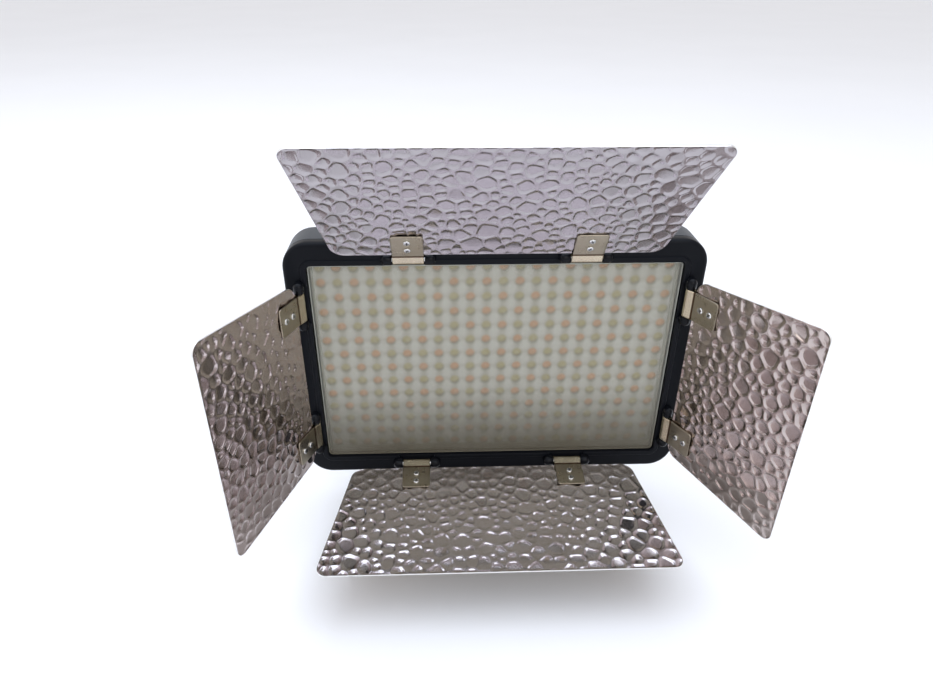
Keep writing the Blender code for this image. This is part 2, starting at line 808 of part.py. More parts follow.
def make_jack(face, look):
    seat = back_frame("jack_seat", JACK_PLACE, face)
    low = -JACK_DEPTH
    profile = [
        (JACK_BORE, JACK_FLANGE_THICKNESS),
        (JACK_FLANGE, JACK_FLANGE_THICKNESS),
        (JACK_FLANGE, GAP / 2),
        (JACK_BARREL, GAP / 2),
        (JACK_BARREL, low),
        (0, low),
        (0, low + WALL),
        (JACK_BORE, low + WALL),
        (JACK_BORE, JACK_FLANGE_THICKNESS),
    ]
    jack = turned("dc_jack", profile, 24)
    place(jack, seat, look=look)
    join(jack, cylinder("jack_pin", JACK_PIN, low + WALL / 2, -WALL, 12))


# Battery plate


def make_battery_plate(face, looks):
    width, height = BATTERY_SIZE
    seat = back_frame("battery_seat", BATTERY_PLACE, face)
    plate_low, plate_high = GAP, GAP + BATTERY_PLATE
    plate = slab(
        "battery_plate", rectangle(width, height, BATTERY_CORNER, 3), plate_low, plate_high,
        round_high=SMALL_ROUND, steps=2,
    )
    place(plate, seat, look=looks["plastic"])
    for side in (-1, 1):
        outer, inner = side * (width / 2 - RAIL_LIP), side * (width / 2 - RAIL_LIP - RAIL_WIDTH)
        lip = inner - side * RAIL_LIP
        top = plate_high + RAIL_HEIGHT
        rail = [(outer, plate_high - RAIL_LIP), (outer, top), (lip, top), (lip, top - RAIL_LIP),
                (inner, top - RAIL_LIP), (inner, plate_high - RAIL_LIP)]
        bar = slab(f"battery_rail_{side}", rail, -RAIL_LENGTH / 2, RAIL_LENGTH / 2)
        moved(bar, Matrix.Rotation(math.radians(90), 4, "X"))
        join(plate, bar)
    latch_y = -height / 2 + LATCH_RISE
    latch_width, latch_height = LATCH_SIZE
    window = slab(
        "latch_window",
        rectangle(
            latch_width + 2 * RUNNING,
            latch_height + LATCH_TRAVEL + 2 * RUNNING,
            middle=(0, latch_y - LATCH_TRAVEL / 2),
        ),
        plate_low + BATTERY_PLATE / 3,
        plate_high * 2,
    )
    cut(plate, window)
    make_latch(seat, latch_y, plate_low + BATTERY_PLATE / 3 + RUNNING, plate_high, looks["catch"])
    make_contacts(seat, plate_high, looks["contact"])


def make_latch(seat, middle, low, plate_high, look):
    """The sprung catch: a thumb ramp that slides down to free the battery."""
    width, height = LATCH_SIZE
    top = plate_high + LATCH_PROUD
    side = [(-height / 2, low), (height / 2, low), (height / 2, top), (height / 6, top),
            (-height / 2, plate_high)]
    latch = slab("battery_latch", side, -width / 2, width / 2)
    standing = Matrix(((0, 0, 1, 0), (1, 0, 0, middle), (0, 1, 0, 0), (0, 0, 0, 1)))
    place(moved(latch, standing), seat, look=look)


def make_contacts(seat, plate_high, look):
    width, depth = CONTACT_SIZE
    middle = -BATTERY_SIZE[1] / 2 + CONTACT_RISE
    low, high = plate_high + GAP, plate_high + GAP + CONTACT_HEIGHT
    holder = block(
        "battery_contacts", (-width / 2, middle - depth / 2, low),
        (width / 2, middle + depth / 2, high),
    )
    place(holder, seat, look=look)
    thick, reach, tall = BLADE_SIZE
    foot = low + (CONTACT_HEIGHT - tall) / 2
    for index in (-1, 0, 1):
        across = index * BLADE_PITCH
        blade = block(
            f"blade_{index}", (across - thick / 2, middle + depth / 4 - reach, foot),
            (across + thick / 2, middle + depth / 4, foot + tall),
        )
        join(holder, blade)


# Stand head


def ear_outline(half, foot):
    """An upright with a round top centred on the tilt axis, drawn in Y and Z."""
    arc = [
        (half * math.cos(math.pi * step / 12), TILT_HEIGHT + half * math.sin(math.pi * step / 12))
        for step in range(13)
    ]
    return [(-half, foot), (half, foot), *arc]


def upright(name, outline, low, high):
    """A slab whose outline is drawn in Y and Z and whose thickness runs along X."""
    standing = Matrix(((0, 0, 1, 0), (1, 0, 0, 0), (0, 1, 0, 0), (0, 0, 0, 1)))
    return moved(slab(name, outline, low, high), standing)


def tilt_bore(name, low, high):
    bore = cylinder(name, BOLT_RADIUS + GAP, low, high, 16)
    return moved(bore, Matrix.Translation(TILT_CENTRE) @ ALONG_X)


def make_base(look):
    """The foot with its two ears. It gives the distance from its middle to an ear's outside."""
    base = slab(
        "stand_base", rectangle(*BASE_SIZE, BASE_CORNER, 4), 0, BASE_HEIGHT,
        round_high=LARGE_ROUND, steps=2,
    )
    place(base, None, look=look)
    inner = TONGUE_WIDTH / 2 + GAP
    outer = inner + EAR_THICKNESS
    for side, low, high in (("left", -outer, -inner), ("right", inner, outer)):
        outline = ear_outline(EAR_RADIUS, BASE_HEIGHT - BASE_CORNER)
        join(base, upright(f"{side}_ear", outline, low, high))
    cut(base, tilt_bore("ear_bore", -2 * outer, 2 * outer))
    cut(base, cylinder("stand_socket", SOCKET_RADIUS, -GAP, SOCKET_DEPTH, 24))
    return outer


def make_arm(tilt, look):
    half = TONGUE_WIDTH / 2
    arc_start = math.asin(NECK_WIDTH / 2 / TONGUE_RADIUS)
    seat_low = TILT_HEIGHT + SEAT_LIFT
    arc = []
    for step in range(17):
        angle = math.pi / 2 + arc_start + (2 * math.pi - 2 * arc_start) * step / 16
        arc.append(
            (TONGUE_RADIUS * math.cos(angle), TILT_HEIGHT + TONGUE_RADIUS * math.sin(angle))
        )
    neck_top = seat_low + SEAT_THICKNESS / 2
    outline = [*arc, (NECK_WIDTH / 2, neck_top), (-NECK_WIDTH / 2, neck_top)]
    arm = upright("tilt_arm", outline, -half, half)
    place(arm, tilt, ABOVE_TILT, look)
    join(arm, cylinder("arm_seat", SEAT_RADIUS, seat_low, SEAT_TOP, 32))
    stud_top = BODY_BOTTOM + STUD_LENGTH
    join(arm, cylinder("arm_stud", STUD_RADIUS, SEAT_TOP - GAP, stud_top, 20))
    cut(arm, tilt_bore("arm_bore", -2 * half, 2 * half))


def make_lock_wheel(tilt, look):
    outline = waved(WHEEL_RADIUS, WHEEL_FLUTE_DEPTH, WHEEL_FLUTES)
    wheel = slab(
        "lock_wheel", outline, WHEEL_BOTTOM, WHEEL_BOTTOM + WHEEL_THICKNESS,
        round_high=SMALL_ROUND, round_low=SMALL_ROUND, steps=1,
    )
    place(wheel, tilt, ABOVE_TILT, look)
    cut(wheel, cylinder("wheel_bore", STUD_RADIUS + GAP, WHEEL_BOTTOM - GAP, BODY_BOTTOM, 20))


def make_bush(face, look):
    bore = STUD_RADIUS + GAP
    flange_low = WALL + GAP
    profile = [
        (bore, BUSH_LENGTH),
        (BUSH_RADIUS, BUSH_LENGTH),
        (BUSH_RADIUS, flange_low + BUSH_FLANGE_THICKNESS),
        (BUSH_FLANGE, flange_low + BUSH_FLANGE_THICKNESS),
        (BUSH_FLANGE, flange_low),
        (BUSH_RADIUS, flange_low),
        (BUSH_RADIUS, 0),
        (bore, 0),
        (bore, BUSH_LENGTH),
    ]
    place(turned("thread_bush", profile, 24), frame("bush_axis", bush_matrix(), face), look=look)


def make_tilt_lock(ear_outside, looks):
    """The bolt through the ears and the lobed hand knob on its end."""
    axis = frame("tilt_bolt_axis", Matrix.Translation(TILT_CENTRE) @ ALONG_X)
    head_low = -ear_outside - GAP - BOLT_HEAD_HEIGHT
    knob_low = ear_outside + RUNNING
    bolt_top = knob_low + HAND_KNOB_BORE_DEPTH - RUNNING
    profile = [
        (0, bolt_top),
        (BOLT_RADIUS, bolt_top),
        (BOLT_RADIUS, head_low + BOLT_HEAD_HEIGHT),
        (BOLT_HEAD, head_low + BOLT_HEAD_HEIGHT),
        (BOLT_HEAD, head_low + BOLT_HEAD_HEIGHT / 3),
        (BOLT_HEAD - LARGE_ROUND, head_low),
        (0, head_low),
    ]
    place(turned("tilt_bolt", profile, 16), axis, look=looks["steel"])
    collar_top = knob_low + HAND_KNOB_COLLAR_LENGTH
    knob_top = knob_low + HAND_KNOB_LENGTH
    outline = waved(HAND_KNOB_RADIUS, HAND_KNOB_LOBE_DEPTH, HAND_KNOB_LOBES, 6)
    knob = slab("tilt_knob", outline, collar_top, knob_top, round_high=LARGE_ROUND, steps=2)
    place(knob, axis, look=looks["plastic"])
    join(knob, cylinder("knob_collar", HAND_KNOB_COLLAR, knob_low, collar_top + GAP))
    bore_top = knob_low + HAND_KNOB_BORE_DEPTH
    cut(knob, cylinder("knob_bore", BOLT_RADIUS + GAP, knob_low - GAP, bore_top, 16))


def main():
    new_scene()
    looks = {
        "bezel": material("bezel_plastic", (0.010, 0.010, 0.011), 0.42),
        "housing": material("housing_plastic", (0.016, 0.017, 0.018), 0.55),
        "plastic": material("fitting_plastic", (0.013, 0.013, 0.014), 0.5),
        "knob": material("knob_rubber", (0.018, 0.018, 0.019), 0.6),
        "diffuser": material("frosted_diffuser", (0.62, 0.63, 0.56), 0.35, alpha=0.6),
        "board": material("circuit_board", (0.70, 0.71, 0.68), 0.5),
        "door": material("hammered_aluminium", (0.62, 0.58, 0.57), 0.22, 1.0),
        "clip": material("nickel_clip", (0.55, 0.50, 0.41), 0.25, 1.0),
        "steel": material("zinc_steel", (0.62, 0.62, 0.60), 0.3, 1.0),
        "dark_metal": material("screen_can", (0.15, 0.15, 0.16), 0.4, 1.0),
        "screen": material("screen_glass", (0.02, 0.025, 0.03), 0.08),
        "contact": material("contact_block", (0.05, 0.05, 0.05), 0.45),
        "catch": material("catch_plastic", (0.08, 0.08, 0.085), 0.45),
        "brass": material("bush_brass", (0.72, 0.53, 0.25), 0.3, 1.0),
        "cast": material("black_alloy", (0.02, 0.02, 0.021), 0.4, 1.0),
    }
    upright_face = Matrix(((1, 0, 0, 0), (0, 0, -1, 0), (0, 1, 0, 0), (0, 0, 0, 1)))
    tilt = frame("tilt_axis", Matrix.Translation(TILT_CENTRE))
    face = frame("panel_face", Matrix.Translation(FACE_CENTRE - TILT_CENTRE) @ upright_face, tilt)
    make_bezel(face, looks["bezel"])
    make_housing(face, looks["housing"])
    make_diffuser(face, looks["diffuser"])
    make_boards(face, looks["board"])
    make_doors(face, looks)
    make_screen(face, looks)
    make_knobs(face, looks["knob"])
    make_buttons(face, looks["knob"])
    make_switch(face, looks["plastic"])
    make_jack(face, looks["plastic"])
    make_battery_plate(face, looks)
    ear_outside = make_base(looks["cast"])
    make_arm(tilt, looks["cast"])
    make_lock_wheel(tilt, looks["cast"])
    make_bush(face, looks["brass"])
    make_tilt_lock(ear_outside, looks)


main()
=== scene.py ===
import json
import math
import bmesh
import bpy
import numpy as np
from mathutils import Matrix, Vector


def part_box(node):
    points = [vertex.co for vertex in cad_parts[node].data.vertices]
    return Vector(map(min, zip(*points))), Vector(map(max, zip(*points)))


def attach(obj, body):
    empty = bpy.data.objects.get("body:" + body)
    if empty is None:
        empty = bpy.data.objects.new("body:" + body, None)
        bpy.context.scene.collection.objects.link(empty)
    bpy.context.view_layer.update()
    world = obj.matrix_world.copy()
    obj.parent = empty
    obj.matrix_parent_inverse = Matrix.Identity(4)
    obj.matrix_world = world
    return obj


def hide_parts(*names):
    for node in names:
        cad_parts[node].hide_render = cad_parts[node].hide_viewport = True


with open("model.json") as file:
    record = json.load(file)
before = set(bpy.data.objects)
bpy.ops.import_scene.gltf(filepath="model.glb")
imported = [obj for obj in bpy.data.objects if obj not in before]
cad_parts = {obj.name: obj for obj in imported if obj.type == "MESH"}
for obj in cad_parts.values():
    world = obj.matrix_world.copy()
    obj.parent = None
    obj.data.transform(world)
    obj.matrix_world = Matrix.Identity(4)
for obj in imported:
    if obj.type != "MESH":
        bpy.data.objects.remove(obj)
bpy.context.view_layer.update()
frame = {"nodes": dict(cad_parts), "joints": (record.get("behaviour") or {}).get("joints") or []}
nodes = frame["nodes"]
joints = {joint["name"]: joint for joint in frame["joints"]}
scene = bpy.context.scene
mm = 0.001


class Wire:  # one socket of a material's nodes: sums and products of wires add their Math nodes
    def __init__(self, tree, socket=None):
        self.tree = tree
        self.socket = socket

    def add(self, kind, settings=None, values=None, out=0):
        made = self.tree.nodes.new("ShaderNode" + kind)
        for name, value in (settings or {}).items():
            setattr(made, name, value)
        for name, value in (values or {}).items():
            if isinstance(value, Wire):
                self.tree.links.new(value.socket, made.inputs[name])
            else:
                made.inputs[name].default_value = value
        return Wire(self.tree, made.outputs[out])

    def maths(self, operation, *parts):
        return self.add("Math", {"operation": operation}, dict(enumerate(parts)))

    def __add__(self, other):
        return self.maths("ADD", self, other)

    def __radd__(self, other):
        return self.maths("ADD", other, self)

    def __sub__(self, other):
        return self.maths("SUBTRACT", self, other)

    def __rsub__(self, other):
        return self.maths("SUBTRACT", other, self)

    def __mul__(self, other):
        return self.maths("MULTIPLY", self, other)

    def __rmul__(self, other):
        return self.maths("MULTIPLY", other, self)

    def __truediv__(self, other):
        return self.maths("DIVIDE", self, other)

    def __rtruediv__(self, other):
        return self.maths("DIVIDE", other, self)


def place3d(w):
    return w.add("TexCoord", out=3)  # the piece's own coordinates, in metres


def noise(w, at, perMetre, detail, rough, distortion=0.0):
    values = {"Vector": at, "Scale": perMetre, "Detail": detail, "Roughness": rough,
              "Distortion": distortion}
    return w.add("TexNoise", None, values)


def stretched(w, at, x, y, z):
    return w.add("VectorMath", {"operation": "MULTIPLY"}, {0: at, 1: (x, y, z)})


def between(w, value, low, high):
    values = {"Value": value, "From Min": low, "From Max": high}
    return w.add("MapRange", {"interpolation_type": "SMOOTHSTEP"}, values)


def tint(w, mask, first, second):
    first = first if isinstance(first, Wire) else (*first, 1)
    second = second if isinstance(second, Wire) else (*second, 1)
    return w.add("Mix", {"data_type": "RGBA"}, {0: mask, 6: first, 7: second}, out=2)


def relief(w, height, metres):
    return w.add("Bump", None, {"Height": height, "Distance": metres, "Strength": 1.0})


def material(name, shade, **fixed):  # fixed: what is the same all over the surface
    made = bpy.data.materials.new(name)
    made.use_nodes = True
    tree = made.node_tree
    shader = tree.nodes["Principled BSDF"]
    for socket, value in fixed.items():
        shader.inputs[socket.replace("_", " ")].default_value = value
    for socket, wire in shade(Wire(tree)).items():
        tree.links.new(wire.socket, shader.inputs[socket.replace("_", " ")])
    return made


# Finishes

plasticLook = {
    "grainPerMetre": 2600,
    "grainDepth": 0.03 * mm,
    "blotchPerMetre": 38,
    "scuffPerMetre": 420,
    "scuffed": (0.62, 0.78),
    "film": 0.275,  # share of the paler tone, the same all over
    "filmLighter": 3.2,
    "filmSheen": 0.05,
}


def mouldedPlastic(dark, light, rough, depth=1.0):
    def shade(w):
        at = place3d(w)
        grain = noise(w, at, plasticLook["grainPerMetre"], 3, 0.6)
        blotch = noise(w, at, plasticLook["blotchPerMetre"], 5, 0.6)
        scuff = noise(
            w, stretched(w, at, 1, 1, 0.25), plasticLook["scuffPerMetre"], 6, 0.7, 0.6)
        rubbed = between(w, scuff, *plasticLook["scuffed"])
        paler = tuple(min(1, plasticLook["filmLighter"] * part) for part in light)
        base = tint(w, plasticLook["film"], tint(w, blotch, dark, light), paler)
        smooth = rough - plasticLook["filmSheen"]
        roughness = smooth + (blotch - 0.5) * 0.16 + grain * 0.06 - rubbed * 0.07
        return {
            "Base_Color": base,
            "Roughness": roughness,
            "Normal": relief(w, grain, plasticLook["grainDepth"] * depth),
        }
    return shade


def hammeredMetal(cast):  # cast: painted light and shade for this door, a share for each colour by which its metal is made lighter, darker or tinted
    def shade(w):
        at = place3d(w)
        haze = noise(w, at, 26, 5, 0.6)
        fine = noise(w, stretched(w, at, 1, 0.12, 1), 5200, 3, 0.6)
        pits = noise(w, at, 1900, 4, 0.7)
        smear = between(w, noise(w, at, 60, 6, 0.65, 1.2), 0.52, 0.75)
        dull, clean, rubbed = (
            tuple(share * part for share, part in zip(cast, colour))
            for colour in ((0.45, 0.405, 0.40), (0.54, 0.50, 0.50), (0.62, 0.585, 0.59))
        )
        base = tint(w, smear * 0.35, tint(w, haze, dull, clean), rubbed)
        roughness = 0.085 + haze * 0.07 + smear * 0.06 + fine * 0.035
        height = fine * 0.4 + pits
        return {
            "Base_Color": base,
            "Roughness": roughness,
            "Normal": relief(w, height, 0.012 * mm),
        }
    return shade


def mottled(clouds, dark, light, fine, stretch, rough, depth, byGrain=False):
    # clouds and fine: each noise's scale, detail and roughness. rough: the least and the
    # spread, which follows the clouds or the grain
    def shade(w):
        at = place3d(w)
        cloud = noise(w, at, *clouds)
        grain = noise(w, stretched(w, at, *stretch) if stretch else at, *fine)
        return {
            "Base_Color": tint(w, cloud, dark, light),
            "Roughness": rough[0] + (grain if byGrain else cloud) * rough[1],
            "Normal": relief(w, grain, depth),
        }
    return shade


def paintedBack(w):
    at = place3d(w)
    peel = noise(w, at, 900, 3, 0.5)
    dust = noise(w, at, 45, 6, 0.65)
    scratch = between(w, noise(w, stretched(w, at, 0.2, 1, 1), 700, 5, 0.75, 0.4), 0.66, 0.74)
    base = tint(w, dust, (0.012, 0.012, 0.013), (0.028, 0.028, 0.029))
    base = tint(w, scratch * 0.5, base, (0.11, 0.11, 0.11))
    roughness = 0.36 + dust * 0.18 - scratch * 0.05
    return {"Base_Color": base, "Roughness": roughness, "Normal": relief(w, peel, 0.05 * mm)}


def nickelPlate(dark, light, rubbed, rough):
    def shade(w):
        at = place3d(w)
        brushed = noise(w, stretched(w, at, 1, 0.02, 0.02), 6500, 3, 0.6)
        clouds = noise(w, at, 160, 5, 0.6)
        rubs = between(w, noise(w, stretched(w, at, 0.15, 1, 1), 1500, 4, 0.7), 0.6, 0.72)
        base = tint(w, rubs * 0.4, tint(w, clouds, dark, light), rubbed)
        roughness = rough + clouds * 0.12 + brushed * 0.06 - rubs * 0.04
        return {
            "Base_Color": base,
            "Roughness": roughness,
            "Normal": relief(w, brushed, 0.008 * mm),
        }
    return shade


print("materials of the metals and plastics")
bezelBlack = material(
    "bezelBlack", mouldedPlastic((0.0020, 0.0023, 0.0032), (0.0036, 0.0041, 0.0055), 0.34),
    Specular_IOR_Level=0.075)
housingBlack = material(
    "housingBlack", mouldedPlastic((0.019, 0.0215, 0.0245), (0.029, 0.0325, 0.0365), 0.45, 1.6),
    Specular_IOR_Level=0.27)
fittingBlack = material(
    "fittingBlack", mouldedPlastic((0.007, 0.0072, 0.008), (0.014, 0.0142, 0.015), 0.38),
    Specular_IOR_Level=0.3)
knuckleBlack = material(
    "knuckleBlack", mouldedPlastic((0.0015, 0.0017, 0.0025), (0.003, 0.0034, 0.0045), 0.14, 0.4),
    Specular_IOR_Level=0.12)
softBlack = material(
    "softBlack", mouldedPlastic((0.014, 0.014, 0.0145), (0.024, 0.024, 0.0245), 0.62, 1.4),
    Specular_IOR_Level=0.3)
blockGrey = material(
    "blockGrey", mouldedPlastic((0.045, 0.045, 0.045), (0.07, 0.07, 0.068), 0.44, 1.2),
    Specular_IOR_Level=0.3)
latchOrange = material(
    "latchOrange", mouldedPlastic((0.16, 0.045, 0.012), (0.24, 0.07, 0.02), 0.4, 1.0),
    Specular_IOR_Level=0.4)
markWhite = material(
    "markWhite", mouldedPlastic((0.55, 0.55, 0.54), (0.72, 0.72, 0.70), 0.5, 0.5),
    Specular_IOR_Level=0.4)
# painted light and shade, one share per colour for each door: the top door darker, the bottom and
# left doors lighter, the right one darker and warmer
doorPaintedLight = {
    "top": (0.80, 0.81, 0.84),
    "bottom": (1.07, 1.08, 1.10),
    "left": (1.17, 1.12, 1.09),
    "right": (0.96, 0.91, 0.86),
}
hammered = {
    side: material(f"hammeredAluminiumPaintedLight_{side}", hammeredMetal(cast), Metallic=1.0)
    for side, cast in doorPaintedLight.items()
}
cutEdge = material(
    "cutAluminium",
    mottled((300, 4, 0.6), (0.78, 0.77, 0.76), (0.9, 0.9, 0.9), (9000, 2, 0.5),
            (0.05, 0.05, 1), (0.22, 0.2), 0.02 * mm), Metallic=1.0)
backPaint = material("doorBackPaint", paintedBack, Coat_Weight=0.15, Coat_Roughness=0.3)
nickel = material(
    "clipNickel",
    nickelPlate((0.31, 0.27, 0.20), (0.42, 0.375, 0.295), (0.58, 0.53, 0.43), 0.2), Metallic=1.0)
# the barrel: a paler, smoother copy of the clip's nickel, a painted highlight
barrelNickelPaintedHighlight = material(
    "barrelNickelPaintedHighlight",
    nickelPlate((0.50, 0.44, 0.32), (0.64, 0.57, 0.43), (0.8, 0.74, 0.6), 0.16), Metallic=1.0)
# the band along the crease: a dark copy of the clip's nickel, painted shade
creaseNickelPaintedShade = material(
    "creaseNickelPaintedShade",
    nickelPlate((0.07, 0.045, 0.03), (0.12, 0.08, 0.05), (0.2, 0.15, 0.1), 0.3), Metallic=1.0)
steel = material(
    "zincSteel",
    mottled((420, 5, 0.6), (0.55, 0.56, 0.56), (0.80, 0.80, 0.78), (5200, 3, 0.5),
            None, (0.16, 0.16), 0.008 * mm), Metallic=1.0)
brass = material(
    "turnedBrass",
    mottled((300, 5, 0.6), (0.52, 0.36, 0.13), (0.78, 0.58, 0.27), (5000, 2, 0.5),
            (0.1, 0.1, 1), (0.2, 0.2), 0.02 * mm), Metallic=1.0)
blackSteel = material(
    "blackSteel", mouldedPlastic((0.03, 0.03, 0.032), (0.06, 0.06, 0.062), 0.3, 0.4), Metallic=0.9)
# the inside of the screws' cross slots, dark: painted shade in the recess
slotPaintedShade = material(
    "slotPaintedShade", mouldedPlastic((0.02, 0.02, 0.02), (0.05, 0.05, 0.05), 0.5, 0.5), Metallic=0.6)


def anodized(w):
    at = place3d(w)
    blast = noise(w, at, 4200, 3, 0.6)
    clouds = noise(w, at, 90, 5, 0.6)
    edge = between(w, w.add("NewGeometry", out=7), 0.51, 0.58)  # from the pointiness
    base = tint(w, clouds, (0.035, 0.036, 0.04), (0.06, 0.061, 0.066))
    base = tint(w, edge * 0.7, base, (0.42, 0.42, 0.43))
    return {
        "Base_Color": base,
        "Roughness": 0.36 + clouds * 0.14 - edge * 0.1,
        "Normal": relief(w, blast, 0.03 * mm),
    }


def screenGlass(w):
    at = place3d(w)
    smudge = noise(w, at, 120, 6, 0.65, 0.8)
    dust = between(w, noise(w, at, 1600, 4, 0.7), 0.66, 0.74)
    base = tint(w, smudge, (0.006, 0.008, 0.011), (0.010, 0.013, 0.017))
    return {
        "Base_Color": tint(w, dust * 0.25, base, (0.25, 0.25, 0.25)),
        "Roughness": 0.05 + smudge * 0.12 + dust * 0.2,
        "Normal": relief(w, smudge, 0.01 * mm),
    }


def litDigit(w):
    at = place3d(w)
    cells = noise(w, at, 2200, 2, 0.5)
    return {
        "Base_Color": tint(w, cells, (0.25, 0.55, 0.60), (0.32, 0.66, 0.72)),
        "Roughness": 0.3 + cells * 0.2,
        "Emission_Color": tint(w, cells, (0.28, 0.62, 0.70), (0.36, 0.76, 0.86)),
        "Normal": relief(w, cells, 0.01 * mm),
    }


alloy = material("anodizedAlloy", anodized, Metallic=0.85)
glass = material("screenGlass", screenGlass, Coat_Weight=0.6, Coat_Roughness=0.04)
digitGlow = material("digitGlow", litDigit, Emission_Strength=0.35)


# Mesh helpers

def inScene(name, data):
    made = bpy.data.objects.new(name, data)
    scene.collection.objects.link(made)
    return made


def meshOf(shape, name):
    mesh = bpy.data.meshes.new(name)
    shape.to_mesh(mesh)
    shape.free()
    return mesh


def meshPiece(name, points, faces, looks, slots=None, smoothTo=60):
    mesh = bpy.data.meshes.new(name)
    mesh.from_pydata([tuple(point) for point in points], [], [tuple(face) for face in faces])
    for look in looks:
        mesh.materials.append(look)
    if slots is not None:
        mesh.polygons.foreach_set("material_index", np.asarray(slots, np.int32))
    mesh.shade_smooth()
    mesh.set_sharp_from_angle(angle=math.radians(smoothTo))
    return inScene(name, mesh)


def applied(piece, smoothTo):  # puts the modifiers into the mesh
    bpy.context.view_layer.update()
    graph = bpy.context.evaluated_depsgraph_get()
    mesh = bpy.data.meshes.new_from_object(piece.evaluated_get(graph))
    mesh.shade_smooth()
    mesh.set_sharp_from_angle(angle=math.radians(smoothTo))
    piece.modifiers.clear()
    piece.data = mesh


def fixTo(piece, matrix, body, slot, *stoodFor):
    piece.matrix_world = matrix
    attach(piece, body)
    if stoodFor:
        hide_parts(*stoodFor)
    return piece


def ordered(rows, columns):  # the indices round a grid's border, anticlockwise
    index = np.arange(rows * columns).reshape(rows, columns)
    return np.concatenate([index[0, :-1], index[:-1, -1], index[-1, :0:-1], index[:0:-1, 0]])


def gridFaces(rows, columns):
    index = np.arange(rows * columns).reshape(rows, columns)
    corners = (index[:-1, :-1], index[:-1, 1:], index[1:, 1:], index[1:, :-1])
    return np.stack([corner.ravel() for corner in corners], 1)


def easedRows(start, end, step, startRound=0.0, endRound=0.0):  # closer where ends are round
    turns = np.linspace(0, math.pi / 2, 10)
    first = start + startRound * (1 - np.cos(turns)) if startRound else np.array([start])
    last = end - endRound * (1 - np.cos(turns[::-1])) if endRound else np.array([end])
    count = max(2, round((last[0] - first[-1]) / step) + 1)
    return np.concatenate([first, np.linspace(first[-1], last[0], count)[1:-1], last])


def sheetPiece(name, rows, halfWidths, step, thickness, rim, looks, middle=0.0, height=None,
               bent=None, backShare=1.0, plainBorder=0.0):
    # a sheet as a closed solid: looks are its front, its cut edge and its back, which
    # repeats a share of the front's relief
    columns = max(4, round(2 * halfWidths.max() / step)) + 1
    across = middle + np.outer(halfWidths, np.linspace(-1, 1, columns))
    along = np.repeat(rows[:, None], columns, axis=1)
    lift = height(across, along) if height else np.zeros(across.shape)
    if plainBorder:
        toSide = halfWidths[:, None] - np.abs(across - middle)
        toEnd = np.minimum(along - rows[0], rows[-1] - along)
        share = np.clip(np.minimum(toSide, toEnd) / plainBorder, 0, 1)
        lift = lift * (0.15 + 0.85 * share ** 2 * (3 - 2 * share))
    loop = ordered(len(rows), columns)
    outline = np.stack([across.ravel()[loop], along.ravel()[loop]], 1)
    tangent = np.roll(outline, -1, 0) - np.roll(outline, 1, 0)
    outward = np.stack([tangent[:, 1], -tangent[:, 0]], 1)
    outward /= np.linalg.norm(outward, axis=1)[:, None]
    flat = np.stack([across.ravel(), along.ravel(), lift.ravel()], 1)
    border = flat[loop]
    flat[loop, :2] -= rim * outward
    half = thickness / 2
    lower = (1, 1, backShare)
    layers = [
        flat + (0, 0, half),
        flat * lower - (0, 0, half),
        border + (0, 0, half - rim),
        border * lower - (0, 0, half - rim),
    ]
    points = np.concatenate(layers)
    total = len(flat)
    upper = 2 * total + np.arange(len(loop))
    rings = [loop, upper, upper + len(loop), loop + total]
    front = gridFaces(len(rows), columns)
    walls = [
        np.stack([a, b, np.roll(b, -1), np.roll(a, -1)], 1) for a, b in zip(rings, rings[1:])
    ]
    faces = np.concatenate([front, *walls, front[:, ::-1] + total])
    slots = np.repeat([0, 1, 2], [len(front), 3 * len(loop), len(front)])
    if bent:
        points = bent(points)
    return meshPiece(name, points, faces, looks, slots)


def roundedLoop(width, height, radius, level, steps=14):
    points = []
    for quarter, (sideX, sideY) in enumerate(((1, 1), (-1, 1), (-1, -1), (1, -1))):
        for step in range(steps + 1):
            angle = math.pi / 2 * (quarter + step / steps)
            points.append((
                sideX * (width / 2 - radius) + radius * math.cos(angle),
                sideY * (height / 2 - radius) + radius * math.sin(angle),
                level,
            ))
    return points


def loopSolid(name, loops, looks, ring=False, smoothTo=40):  # loops run from front to back
    count = len(loops[0])
    points = [point for loop in loops for point in loop]
    faces = []
    pairs = list(zip(range(len(loops)), range(1, len(loops))))
    if ring:
        pairs.append((len(loops) - 1, 0))
    for front, back in pairs:
        for index in range(count):
            after = (index + 1) % count
            faces.append((
                front * count + index, back * count + index,
                back * count + after, front * count + after,
            ))
    if not ring:
        faces.append(range(count))
        faces.append(range(len(points) - 1, len(points) - count - 1, -1))
    return meshPiece(name, points, faces, looks, smoothTo=smoothTo)


def arc(centre, radius, start, end, steps):  # angles in degrees
    angles = np.radians(np.linspace(start, end, steps + 1))
    return [(centre[0] + radius * math.cos(a), centre[1] + radius * math.sin(a)) for a in angles]


# The face's own frame: x to the right, y up, z along the beam

bezelSize = {
    "depth": 6.6 * mm,
    "seam": 0.3 * mm,
    "faceThickness": 3.0 * mm,
    "wall": 2.2 * mm,
    "corner": 15 * mm,
    "frontRound": 2.4 * mm,
    "seamEdge": 0.45 * mm,
    "frameWidth": 12.9 * mm,
    "openingCorner": 3 * mm,
    "lipWidth": 3 * mm,
    "lipHeight": 1 * mm,
    "lipRound": 0.35 * mm,
}
housingLow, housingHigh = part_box("rear_housing")
bodyWidth = housingHigh.x - housingLow.x
bodyHeight = housingHigh.z - housingLow.z
faceY = housingLow.y - bezelSize["seam"] - bezelSize["depth"]
faceCentre = Vector((0, faceY, (housingLow.z + housingHigh.z) / 2))
faceMatrix = Matrix.Translation(faceCentre) @ Matrix.Rotation(math.radians(90), 4, "X")
beam = Vector((0, -1, 0))
sides = ("top", "bottom", "left", "right")


